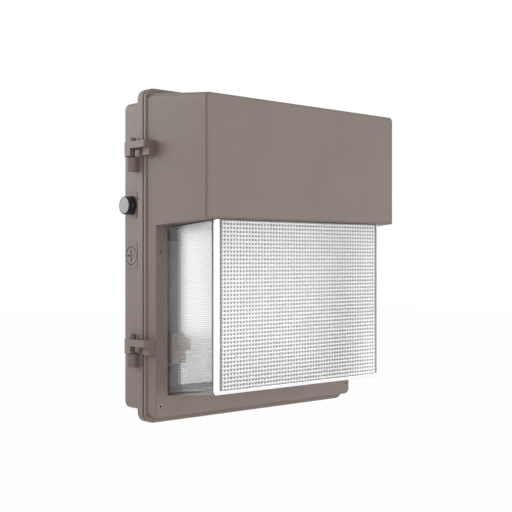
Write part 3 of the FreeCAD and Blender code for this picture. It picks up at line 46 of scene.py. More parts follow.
# Every opaque finish: cloudy and speckled variation, edges lightened as wear and painted highlight, and
# corners darkened as painted shade with rougher dust.
CLOUD_SCALE = 14.0              # features per metre
SPECK_SCALE = 420.0
CLOUD_SHARE = 0.6               # how much of the shade each brings in
SPECK_SHARE = 0.4
CLOUD_ROUGH = 0.05              # how far each shifts the roughness
SPECK_ROUGH = 0.08
DUST_AND_SHADE_REACH = 0.01               # depth of a corner with painted shade and dust, in metres
CORNER_SHADE_TONE = 0.45                # brightness of the painted corner shade, as a share of the finish's darker tone
DUST_ROUGH = 0.2
WEAR_AND_HIGHLIGHT_REACH = 0.0011             # width of an edge lightened as wear and painted highlight, in metres
WEAR_ROUGH = 0.1
PEEL_SCALE = 900.0              # features of each grain per metre
FINE_PEEL_SCALE = 2600.0
BRUSH_SCALE = 1500.0
BRUSH_STRETCH = (1.0, 1.0, 0.04)
PORE_SCALE = 700.0
MOULD_SCALE = 1800.0
BEVEL_SAMPLES = 4
OCCLUSION_SAMPLES = 6

Colour = tuple[float, float, float]


def srgb(red: int, green: int, blue: int) -> Colour:
    """Linear colour of a colour given as 0 to 255 on the screen.

    Args:
        red, green, blue: the three channels as a screen shows them.

    Returns:
        The channels as light, each (c / 255) to the power 2.2.
    """
    return tuple((channel / 255.0) ** SCREEN_GAMMA for channel in (red, green, blue))


# ---------------------------------------------------------------- shader writing
class Value:
    """A number that varies over a surface: an output socket whose operators add Math nodes."""

    def __init__(self, sheet: "Sheet", socket: bpy.types.NodeSocket) -> None:
        """Keeps the sheet of nodes and the socket that gives the number."""
        self.sheet = sheet
        self.socket = socket

    def _math(self, operation: str, first: "Value | float", second: "Value | float") -> "Value":
        """Adds one Math node.

        Args:
            operation: Blender's name of the operation.
            first, second: its two operands.

        Returns:
            The node's result.
        """
        return self.sheet.value("ShaderNodeMath", {"operation": operation}, {0: first, 1: second})

    def __add__(self, other: "Value | float") -> "Value":
        """self + other."""
        return self._math("ADD", self, other)

    def __radd__(self, other: float) -> "Value":
        """other + self."""
        return self._math("ADD", other, self)

    def __sub__(self, other: "Value | float") -> "Value":
        """self - other."""
        return self._math("SUBTRACT", self, other)

    def __rsub__(self, other: float) -> "Value":
        """other - self."""
        return self._math("SUBTRACT", other, self)

    def __mul__(self, other: "Value | float") -> "Value":
        """self * other."""
        return self._math("MULTIPLY", self, other)

    def __rmul__(self, other: float) -> "Value":
        """other * self."""
        return self._math("MULTIPLY", other, self)

    def between(self, low: float, high: float) -> "Value":
        """Smooth step of this value.

        Args:
            low: where the step starts, 0 below it.
            high: where it ends, 1 above it.

        Returns:
            A number from 0 to 1.
        """
        settings = {"interpolation_type": "SMOOTHSTEP"}
        sockets = {"Value": self, "From Min": low, "From Max": high}
        return self.sheet.value("ShaderNodeMapRange", settings, sockets)


class Sheet:
    """The nodes of one material or world."""

    def __init__(self, owner: bpy.types.Material | bpy.types.World) -> None:
        """Clears the owner's nodes to start from an empty sheet."""
        owner.use_nodes = True
        self.tree = owner.node_tree
        self.tree.nodes.clear()

    def node(self, kind: str, settings: dict | None = None, sockets: dict | None = None) -> bpy.types.Node:
        """Adds one node.

        Args:
            kind: Blender's type name of the node.
            settings: its properties, set before any socket.
            sockets: values or links of its inputs, by name or number.

        Returns:
            The new node.
        """
        made = self.tree.nodes.new(kind)
        for name, setting in (settings or {}).items():
            setattr(made, name, setting)
        for name, given in (sockets or {}).items():
            socket = made.inputs[name]
            given = given.socket if isinstance(given, Value) else given
            if isinstance(given, bpy.types.NodeSocket):
                self.tree.links.new(given, socket)
            else:
                socket.default_value = given
        return made

    def value(self, kind: str, settings: dict | None = None, sockets: dict | None = None,
              output: int = 0) -> Value:
        """Adds one node and wraps one of its outputs.

        Args:
            kind, settings, sockets: as for node().
            output: number of the output.

        Returns:
            The wrapped output.
        """
        return Value(self, self.node(kind, settings, sockets).outputs[output])

    def place(self) -> bpy.types.NodeSocket:
        """The piece's own coordinates, in metres."""
        return self.node("ShaderNodeTexCoord").outputs["Object"]

    def along(self, axis: int) -> Value:
        """One of the piece's own coordinates in metres.

        Args:
            axis: 0 for x, 1 for y and 2 for z.

        Returns:
            The coordinate.
        """
        return self.value("ShaderNodeSeparateXYZ", {}, {"Vector": self.place()}, axis)

    def noise(self, scale: float, detail: float = 3.0, stretch: Colour = (1.0, 1.0, 1.0)) -> Value:
        """Cloudy noise from 0 to 1.

        Args:
            scale: features per metre.
            detail: octaves of finer noise.
            stretch: factor along each axis, below 1 to draw the features out.

        Returns:
            The noise.
        """
        mapped = self.node("ShaderNodeMapping", {}, {"Vector": self.place(), "Scale": stretch}).outputs[0]
        return self.value("ShaderNodeTexNoise", {}, {"Vector": mapped, "Scale": scale, "Detail": detail})

    def blend(self, first: Colour | bpy.types.NodeSocket, second: Colour,
              share: Value | float) -> bpy.types.NodeSocket:
        """Mix of two colours.

        Args:
            first: colour at share 0, or a colour socket.
            second: colour at share 1.
            share: how much of the second.

        Returns:
            The mixed colour's socket.
        """
        first = first if isinstance(first, bpy.types.NodeSocket) else (*first, 1.0)
        sockets = {0: share, 6: first, 7: (*second, 1.0)}
        return self.node("ShaderNodeMix", {"data_type": "RGBA"}, sockets).outputs[2]

    def attribute(self, name: str) -> Value:
        """A number stored on the piece's points, by name."""
        return self.value("ShaderNodeAttribute", {"attribute_name": name}, {}, 2)

    def edge(self, reach: float) -> Value:
        """How close a point is to an outer or inner edge: 1 - (rounded normal . true normal).

        Args:
            reach: distance from the edge that counts, in metres.

        Returns:
            0 on a flat face, rising at an edge.
        """
        rounded = self.node("ShaderNodeBevel", {"samples": BEVEL_SAMPLES}, {"Radius": reach}).outputs[0]
        true = self.node("ShaderNodeNewGeometry").outputs["Normal"]
        product = self.value("ShaderNodeVectorMath", {"operation": "DOT_PRODUCT"}, {0: rounded, 1: true}, 1)
        return 1.0 - product

    def hollow(self, reach: float) -> Value:
        """How enclosed a point is by its own piece, 0 in the open and towards 1 in a deep corner."""
        settings = {"samples": OCCLUSION_SAMPLES, "only_local": True}
        return 1.0 - self.value("ShaderNodeAmbientOcclusion", settings, {"Distance": reach}, 1)

    def bump(self, height: Value, depth: float) -> bpy.types.NodeSocket:
        """Normal of a surface with small relief.

        Args:
            height: the relief, from 0 to 1.
            depth: how deep 1 is, in metres.

        Returns:
            The normal's socket.
        """
        sockets = {"Strength": 1.0, "Distance": depth, "Height": height}
        return self.node("ShaderNodeBump", {}, sockets).outputs[0]

    def finish(self, shader: bpy.types.NodeSocket) -> None:
        """Joins the last shader to the material's output."""
        self.node("ShaderNodeOutputMaterial", {}, {"Surface": shader})


class Grain(Enum):
    """Small relief of a finish."""

    ORANGE_PEEL = "orange peel"
    BRUSHED = "brushed"
    MOULDED = "moulded"
    SPONGE = "sponge"


@dataclass(frozen=True)
class Finish:
    """One opaque finish: tone with cloudy variation, relief, edges lightened as wear and painted highlight,
    and corners darkened as painted shade with rougher dust.
    """

    name: str
    tone: Colour
    shade: Colour
    rough: float
    grain: Grain = Grain.MOULDED
    depth: float = 0.00002
    metallic: float = 0.0
    coat: float = 0.0
    # Edge tone and share: wear, and on the castings also a painted highlight. Corner share: painted shade
    # with dust.
    wear_and_highlight_tone: Colour | None = None
    wear_and_highlight: float = 0.0
    dust_and_shade: float = 0.0

    def relief(self, sheet: Sheet) -> Value:
        """Height of the grain.

        Args:
            sheet: where the nodes go.

        Returns:
            Height from 0 to 1.
        """
        if self.grain is Grain.ORANGE_PEEL:
            return sheet.noise(PEEL_SCALE, 2.0) * 0.7 + sheet.noise(FINE_PEEL_SCALE, 1.0) * 0.3
        if self.grain is Grain.BRUSHED:
            return sheet.noise(BRUSH_SCALE, 3.0, BRUSH_STRETCH)
        if self.grain is Grain.SPONGE:
            pores = sheet.value("ShaderNodeTexVoronoi", {}, {"Vector": sheet.place(), "Scale": PORE_SCALE})
            return pores.between(0.1, 0.7)
        return sheet.noise(MOULD_SCALE, 4.0)

    def material(self) -> bpy.types.Material:
        """The finish as nodes.

        Returns:
            The new material.
        """
        made = bpy.data.materials.new(self.name)
        sheet = Sheet(made)
        cloud = sheet.noise(CLOUD_SCALE, 4.0)
        speck = sheet.noise(SPECK_SCALE, 2.0)
        shift = cloud.between(0.35, 0.7) * CLOUD_SHARE + speck.between(0.45, 0.75) * SPECK_SHARE
        colour = sheet.blend(self.tone, self.shade, shift)
        rough = self.rough + (cloud - 0.5) * CLOUD_ROUGH + (speck - 0.5) * SPECK_ROUGH
        # Painted shade: corners that the piece encloses are darkened towards a dark tone, and are made
        # rougher as dust.
        if self.dust_and_shade:
            dust_and_shade_mask = sheet.hollow(DUST_AND_SHADE_REACH) * self.dust_and_shade
            colour = sheet.blend(colour, tuple(CORNER_SHADE_TONE * channel for channel in self.shade), dust_and_shade_mask)
            rough = rough + dust_and_shade_mask * DUST_ROUGH
        # Edges take the worn tone as wear; on the castings and plugs that lighter tone is also a painted
        # highlight along the edges.
        if self.wear_and_highlight_tone:
            patchy = 0.55 + speck.between(0.3, 0.6) * 0.45
            wear_and_highlight_mask = sheet.edge(WEAR_AND_HIGHLIGHT_REACH).between(0.03, 0.28) * patchy * self.wear_and_highlight
            colour = sheet.blend(colour, self.wear_and_highlight_tone, wear_and_highlight_mask)
            rough = rough - wear_and_highlight_mask * WEAR_ROUGH
        sockets = {
            "Base Color": colour,
            "Roughness": rough,
            "Metallic": self.metallic,
            "Coat Weight": self.coat,
            "Normal": sheet.bump(self.relief(sheet), self.depth),
        }
        sheet.finish(sheet.node("ShaderNodeBsdfPrincipled", {}, sockets).outputs[0])
        return made


@dataclass(frozen=True)
class ClearGlass:
    """Pressed glass that shows what is behind it, hazy along its ribs, with a painted reflection: silvery
    haze that grows towards its front and top.

    Its prism attribute is the height of a rib, 0 off the ribs. A span gives where a smooth step starts and
    where it ends.
    """

    name: str = "pressed_glass"
    tint: Colour = (0.985, 0.99, 0.99)
    haze_tone: Colour = (0.93, 0.94, 0.945)
    rough: float = 0.16
    refraction: float = 1.47
    solid: float = 0.1                              # share of light that the glass bends
    wave_scale: float = 60.0                        # moulding waves per metre
    wave_depth: float = 0.0001                      # metres
    wall_span: tuple[float, float] = (0.0, 0.3)     # rib height that marks a ribbed wall
    crown_span: tuple[float, float] = (0.35, 0.95)  # rib height that marks a rib's crown
    reflection_front_span: tuple[float, float] = (0.085, 0.114)  # metres in front of the wall over which the painted reflection grows
    reflection_high_span: tuple[float, float] = (-0.122, -0.08)  # metres above the middle over which the painted reflection grows
    # share of the painted reflection low on the bowl
    reflection_low_share: float = 0.15
    haze: float = 0.05
    crown_haze: float = 0.2
    reflection_haze_share: float = 0.45

    def material(self) -> bpy.types.Material:
        """The glass as nodes.

        Returns:
            The new material.
        """
        made = bpy.data.materials.new(self.name)
        sheet = Sheet(made)
        waves = sheet.noise(self.wave_scale, 2.0)
        rib = sheet.attribute("prism")
        normal = sheet.bump(waves, self.wave_depth)
        clear = {
            "Base Color": sheet.blend(self.tint, tuple(0.985 * channel for channel in self.tint), waves),
            "Roughness": self.rough + (waves - 0.5) * 0.03,
            "IOR": self.refraction,
            "Transmission Weight": 1.0,
            "Alpha": self.solid,
            "Normal": normal,
        }
        # Painted reflection: a silvery metallic haze, placed by position and growing towards the front and
        # top, stands for the bright reflector behind the glass.
        reflection_front = (sheet.along(1) * -1.0).between(*self.reflection_front_span)
        high = sheet.along(2).between(*self.reflection_high_span)
        silver = rib.between(*self.wall_span) * reflection_front
        silver = silver * (self.reflection_low_share + high * (1.0 - self.reflection_low_share))
        milky = {
            "Base Color": (*self.haze_tone, 1.0),
            "Roughness": 0.4 + waves * 0.1,
            "Metallic": silver,
            "Normal": normal,
        }
        share = self.haze + rib.between(*self.crown_span) * self.crown_haze + silver * self.reflection_haze_share
        glass = sheet.node("ShaderNodeBsdfPrincipled", {}, clear).outputs[0]
        haze = sheet.node("ShaderNodeBsdfPrincipled", {}, milky).outputs[0]
        sheet.finish(sheet.node("ShaderNodeMixShader", {}, {0: share, 1: glass, 2: haze}).outputs[0])
        return made


@dataclass(frozen=True)
class PrismGlass:
    """Front of the bowl: silvery prism tops whose white is partly a painted highlight, valleys that let
    light through and carry a painted dark shade, and a silvery border whose rounded edge is a painted
    highlight.

    Its prism attribute runs from 0 in a valley to 1 on a prism's top, and is above 1 on the rounded border.
    """

    name: str = "prism_glass"
    crest: Colour = (0.98, 0.98, 0.98)
    # The valleys' dark tone is a painted shade for the shadow between the prisms.
    valley: Colour = (0.22, 0.225, 0.23)
    refraction: float = 1.47
    glow: float = 0.68                              # share of light that passes the prisms
    cloud_scale: float = 40.0                       # features per metre
    cloud_depth: float = 0.00005                    # metres
    tone_span: tuple[float, float] = (0.08, 0.5)
    silver_span: tuple[float, float] = (0.2, 0.8)
    border_span: tuple[float, float] = (1.1, 1.4)

    def material(self) -> bpy.types.Material:
        """The front as nodes, steered by the prisms' own height.

        Returns:
            The new material.
        """
        made = bpy.data.materials.new(self.name)
        sheet = Sheet(made)
        prism = sheet.attribute("prism")
        cloud = sheet.noise(self.cloud_scale, 2.0)
        normal = sheet.bump(cloud, self.cloud_depth)
        colour = sheet.blend(self.valley, self.crest, prism.between(*self.tone_span))
        silvery = {
            "Base Color": colour,
            "Roughness": 0.3 - prism * 0.05 + cloud * 0.05,
            "Metallic": prism.between(*self.silver_span),
            "Normal": normal,
        }
        glowing = {
            "Base Color": colour,
            "Roughness": 0.8 + cloud * 0.1,
            "IOR": self.refraction,
            "Transmission Weight": 1.0,
            "Normal": normal,
        }
        silver = sheet.node("ShaderNodeBsdfPrincipled", {}, silvery).outputs[0]
        glow = sheet.node("ShaderNodeBsdfPrincipled", {}, glowing).outputs[0]
        share = self.glow * (1.0 - prism.between(*self.border_span))
        sheet.finish(sheet.node("ShaderNodeMixShader", {}, {0: share, 1: silver, 2: glow}).outputs[0])
        return made


# ---------------------------------------------------------------- mesh making
def grid_faces(rows: int, columns: int, start: int = 0, wrap: bool = False) -> np.ndarray:
    """Four corners of every cell of a grid of points stored row by row.

    Args:
        rows, columns: points each way.
        start: number of the first point.
        wrap: whether the last column joins the first.

    Returns:
        One row of four point numbers for each cell.
    """
    across = np.arange(columns if wrap else columns - 1)
    along = np.arange(rows - 1)[:, None] * columns
    after = (across + 1) % columns
    corners = (along + across, along + after, along + columns + after, along + columns + across)
    return np.stack(corners, axis=-1).reshape(-1, 4) + start


def make_piece(name: str, points: np.ndarray, faces: list, materials: list, body: str,
               numbers: dict | None = None, finish_of: np.ndarray | None = None,
               sharp: float = 35.0) -> bpy.types.Object:
    """A mesh piece with merged doubles and outward faces, riding on a body.

    Args:
        name: name of the piece.
        points: its points in metres.
        faces: lists of point numbers.
        materials: its materials.
        body: CAD body that it moves with.
        numbers: named values for each point.
        finish_of: material number of each face.
        sharp: angle above which an edge stays sharp, in degrees.

    Returns:
        The new object.
    """
    mesh = bpy.data.meshes.new(name)
    mesh.from_pydata(points.tolist(), [], faces)
    for label, column in (numbers or {}).items():
        mesh.attributes.new(label, "FLOAT", "POINT").data.foreach_set("value", column.astype(np.float32))
    for material in materials:
        mesh.materials.append(material)
    if finish_of is not None:
        mesh.polygons.foreach_set("material_index", finish_of.astype(np.int32))
    shell = bmesh.new()
    shell.from_mesh(mesh)
    bmesh.ops.remove_doubles(shell, verts=shell.verts, dist=1e-6)
    bmesh.ops.recalc_face_normals(shell, faces=shell.faces)
    shell.to_mesh(mesh)
    shell.free()
    mesh.shade_smooth()
    mesh.set_sharp_from_angle(angle=math.radians(sharp))
    piece = bpy.data.objects.new(name, mesh)
    bpy.context.scene.collection.objects.link(piece)
    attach(piece, body)
    LOG.info("%s: %d faces on %s", name, len(mesh.polygons), body)
    return piece


# ---------------------------------------------------------------- the glass bowl
@dataclass
class Refractor:
    """Pressed glass bowl: small prisms on its front, fine level ribs on its sides and a flat sharp top.

    Lengths are in metres. The drafts are how far each wall leans in by the front.
    """

    frame_y: float = -0.075
    front_y: float = -0.1585
    rim_front_y: float = -0.0695
    rim_back_y: float = -0.0645
    back_half_width: float = 0.1589
    side_draft: float = 0.0099
    back_low_z: float = -0.1771
    low_draft: float = 0.0072
    back_high_z: float = 0.0348
    high_draft: float = 0.009185
    wall: float = 0.0045
    edge_r: float = 0.0045
    rim: float = 0.0045
    corner_r: float = 0.005
    inner_r: float = 0.0025
    prism_x: float = 0.00512
    prism_z: float = 0.00485
    columns: int = 55
    rows: int = 43
    cuts_x: int = 5
    cuts_z: int = 6
    field_low_z: float = -0.1649
    prism_height: float = 0.0007
    rib_height: float = 0.00035
    corner_cuts: int = 5
    band_start: float = 0.0028
    border_share: float = 0.2
    # Whiteness of the rounded edge: above the border span it turns the edge into a white mirror, a painted
    # highlight.
    edge_highlight: float = 1.5
    band_ring: int = 9          # faces from this ring on wear the prism glass
    rib_haze: float = 0.3       # haze between the ribs, as a share of a crown's
    plain_y: float = 0.0025     # frame to the end of the plain wall
    ribbed_y: float = 0.0035    # frame to the first full rib
    middle_y: float = 0.040
    rib_end: float = 0.0006
    edge_step: float = 0.0002
    border_step: float = 0.0003
    edge_turn: float = 18.0     # degrees between the rows of the rounded edge

    def bounds(self, y: np.ndarray) -> tuple[np.ndarray, np.ndarray, np.ndarray]:
        """Half width, low z and high z of the drafted bowl at depths y, each linear in y.

        Args:
            y: depths in metres.

        Returns:
            The three bounds.
        """
        share = (y - self.frame_y) / (self.front_y - self.frame_y)
        half = self.back_half_width - self.side_draft * share
        low = self.back_low_z + self.low_draft * share
        high = self.back_high_z + self.high_draft * share
        return half, low, high

    def loop(self) -> tuple[np.ndarray, ...]:
        """Points once round a rectangle with rounded lower corners, as a place in it and a normal.

        Returns:
            Place along x from -1 to 1, place along z from 0 to 1, normal x, normal z, and rib height.
        """
        up = np.linspace(0.0, 1.0, self.rows * self.cuts_z + 1)
        across = np.linspace(1.0, -1.0, self.columns * self.cuts_x + 1)
        turn = np.linspace(0.0, np.pi / 2, self.corner_cuts + 2)[1:-1]
        ribs = 0.5 - 0.5 * np.cos(2.0 * np.pi * np.arange(up.size) * 2.0 / self.cuts_z)
        one_up, one_turn = np.ones_like(up), np.ones_like(turn)
        top, flat = across[1:-1], 0.0 * across
        parts = [
            (one_up, up, one_up, 0 * up, ribs),
            (top, 0 * top + 1.0, top, 0 * top, 0 * top),
            (-one_up, up[::-1], -one_up, 0 * up, ribs[::-1]),
            (-one_turn, 0 * turn, -np.cos(turn), -np.sin(turn), 0 * turn),
            (-across, flat, flat, flat - 1.0, flat),
            (one_turn, 0 * turn, np.sin(turn), -np.cos(turn), 0 * turn),
        ]
        return tuple(np.concatenate(columns) for columns in zip(*parts))

    def stations(self) -> np.ndarray:
        """Sections from the inside of the front, back round the rim, and forward to the front's border.

        Returns:
            Rows of depth, depth that gives the bounds, outset at the sides and below, outset above,
            corner radius, share of rib height, and whiteness, which on the rounded edge is a painted
            highlight.
        """
        edge_y = self.front_y + self.edge_r
        round_r = self.corner_r + self.rim
        inner_y = self.front_y + self.wall
        rows = [
            (inner_y, inner_y, -self.wall, -self.wall, self.inner_r, 0.0, 0.0),
            (self.rim_back_y, self.rim_back_y, -self.wall, -self.wall, self.inner_r, 0.0, 0.0),
            (self.rim_back_y, self.rim_front_y, self.rim, self.rim, round_r, 0.0, 0.0),
            (self.rim_front_y, self.rim_front_y, self.rim, self.rim, round_r, 0.0, 0.0),
        ]
        walls = (
            (self.rim_front_y, 0.0, 0.0),
            (self.frame_y - self.plain_y, 0.0, 0.0),
            (self.frame_y - self.ribbed_y, 1.0, 0.0),
            (self.frame_y - self.middle_y, 1.0, 0.0),
            (edge_y + self.band_start + self.rib_end, 1.0, 0.0),
            (edge_y + self.band_start, 0.0, 0.0),
            (edge_y + self.edge_step, 0.0, 0.0),
            (edge_y, 0.0, self.edge_highlight),
        )
        rows += [(y, y, 0.0, 0.0, self.corner_r, ribbed, white) for y, ribbed, white in walls]
        for angle in np.radians(np.arange(self.edge_turn, 91.0, self.edge_turn)):
            inset = self.edge_r * (1.0 - math.cos(angle))
            y = edge_y - self.edge_r * math.sin(angle)
            rows.append((y, y, -inset, 0.0, self.corner_r - inset, 0.0, self.edge_highlight))
        inset = self.edge_r + self.border_step
        radius = self.corner_r - inset
        rows.append((self.front_y, self.front_y, -inset, 0.0, radius, 0.0, self.border_share))
        return np.array(rows)

    def field(self) -> tuple[np.ndarray, np.ndarray]:
        """The front's prisms: height = H (2 - cos(2 pi x / px) - cos(2 pi z / pz)) / 4, zero at the border.

        Returns:
            Points row by row from low to high, and their whiteness from 0 to 1.
        """
        x = np.linspace(0.5, -0.5, self.columns * self.cuts_x + 1) * self.columns * self.prism_x
        z = self.field_low_z + np.linspace(0.0, 1.0, self.rows * self.cuts_z + 1) * self.rows * self.prism_z
        wave_x = np.cos(2.0 * np.pi * np.arange(x.size) / self.cuts_x)
        wave_z = np.cos(2.0 * np.pi * np.arange(z.size) / self.cuts_z)
        height = (2.0 - wave_x[None, :] - wave_z[:, None]) / 4.0
        height[[0, -1], :] = 0.0
        height[:, [0, -1]] = 0.0
        wide, tall = np.meshgrid(x, z)
        points = np.stack((wide, self.front_y - self.prism_height * height, tall), axis=-1)
        height[[0, -1], :] = self.border_share
        height[:, [0, -1]] = self.border_share
        return points.reshape(-1, 3), height.ravel()

    def shell(self) -> tuple[np.ndarray, np.ndarray]:
        """Walls of the bowl: a rectangle with rounded lower corners carried along the stations.

        x = ax (W - r) + (r + rib) nx, z = low + r + az (high - low - r) + r nz.

        Returns:
            Points, station by station, and the whiteness or rib height of each from 0 to 1.
        """
        ax, az, nx, nz, ribs = self.loop()
        y, bound_y, outset, above, radius, ribbed, white = self.stations().T[:, :, None]
        half, low, high = self.bounds(bound_y)
        half, low, high = half + outset, low - outset, high + above
        x = ax * (half - radius) + (radius + self.rib_height * ribs * ribbed) * nx
        z = low + radius + az * (high - low - radius) + radius * nz
        walls = np.stack((x, np.broadcast_to(y, x.shape), z), axis=-1)
        border_x = ax * self.columns * self.prism_x / 2.0
        border_z = self.field_low_z + az * self.rows * self.prism_z
        border = np.stack((border_x, np.full_like(border_x, self.front_y), border_z), axis=-1)
        haze = (self.rib_haze + (1.0 - self.rib_haze) * ribs) * ribbed
        values = np.concatenate((haze + white, np.full((1, ax.size), self.border_share)))
        return np.concatenate((walls, border[None])), values

    def build(self) -> bpy.types.Object:
        """Joins the walls, the prism field and the flat inside of the front.

        Returns:
            The finished piece.
        """
        walls, values = self.shell()
        prisms, height = self.field()
        stations, around = walls.shape[:2]
        wall_faces = grid_faces(stations, around, wrap=True)
        points_z, points_x = self.rows * self.cuts_z + 1, self.columns * self.cuts_x + 1
        prism_faces = grid_faces(points_z, points_x, stations * around)
        faces = wall_faces.tolist() + prism_faces.tolist() + [list(range(around))]
        points = np.concatenate((walls.reshape(-1, 3), prisms))
        numbers = {"prism": np.concatenate((values.ravel(), height))}
        band = np.arange(len(wall_faces)) >= self.band_ring * around
        finish_of = np.concatenate((band, np.ones(len(prism_faces)), [0.0]))
        materials = [ClearGlass().material(), PrismGlass().material()]
        piece = make_piece("refractor_pressed_glass", points, faces, materials, "door", numbers, finish_of)
        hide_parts("refractor_glass")
        return piece


# ---------------------------------------------------------------- LED packages
@dataclass
class LedPackages:
    """White square packages with a round yellow dome, one on each place of the boards."""

    board_front_y: float = -0.0586
    pitch_x: float = 0.110 / 6
    columns: int = 6
    rows_z: tuple[float, ...] = (-0.120, -0.063, -0.006)
    half: float = 0.0025
    base: float = 0.0005
    dome_r: float = 0.0018
    dome_height: float = 0.0003
    around: int = 20
    rings: int = 5

    def places(self) -> np.ndarray:
        """Centres of the packages on the boards' front."""
        x = (np.arange(self.columns) - (self.columns - 1) / 2.0) * self.pitch_x
        wide, tall = np.meshgrid(x, np.array(self.rows_z))
        return np.stack((wide, np.full_like(wide, self.board_front_y), tall), axis=-1).reshape(-1, 3)

    def package(self) -> tuple[np.ndarray, list]:
        """Square base that turns into a dome: each ring has radius R and lies h in front of the board.

        A ring of the base is a square, R / max(|cos a|, |sin a|), and a ring of the dome is a circle.

        Returns:
            Points of one package, and its faces.
        """
        angle = 2.0 * np.pi * (np.arange(self.around) + 0.5) / self.around
        square = 1.0 / np.maximum(np.abs(np.cos(angle)), np.abs(np.sin(angle)))
        rise = np.linspace(0.0, np.pi / 2, self.rings + 1)[:-1]
        radii = [self.half * square, self.half * square, self.dome_r + 0.0 * angle]
        radii += [self.dome_r * math.cos(a) + 0.0 * angle for a in rise[1:]]
        heights = [0.0, self.base, self.base]
        heights += [self.base + self.dome_height * math.sin(a) for a in rise[1:]]
        radius = np.array(radii)
        height = np.array(heights)[:, None] + 0.0 * radius
        points = np.stack((radius * np.cos(angle), -height, radius * np.sin(angle)), axis=-1).reshape(-1, 3)
        faces = grid_faces(len(heights), self.around, wrap=True).tolist()
        faces.append(list(range(self.around)))
        faces.append(list(range(len(points) - self.around, len(points))))
        return points, faces

    def build(self, finishes: list) -> bpy.types.Object:
        """Sets one package on every place.

        Args:
            finishes: material of the base and material of the dome.

        Returns:
            The finished piece.
        """
        one, faces = self.package()
        places = self.places()
        points = (places[:, None, :] + one[None]).reshape(-1, 3)
        copies = np.arange(len(places)) * len(one)
        all_faces = [[number + int(start) for number in face] for start in copies for face in faces]
        domed = np.zeros(len(faces))
        domed[2 * self.around:-2] = 1.0
        domed[-1] = 1.0
        finish_of = np.tile(domed, len(places))
        piece = make_piece("led_packages", points, all_faces, finishes, "housing", None, finish_of)
        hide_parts("led_chips")
        return piece


# ---------------------------------------------------------------- finishes of the CAD nodes
BRONZE = srgb(136, 121, 113)
BRONZE_DARK = srgb(131, 116, 108)
# Lighter tone of the castings' edges: wear and a painted highlight.
BRONZE_WEAR_AND_HIGHLIGHT = srgb(158, 143, 135)


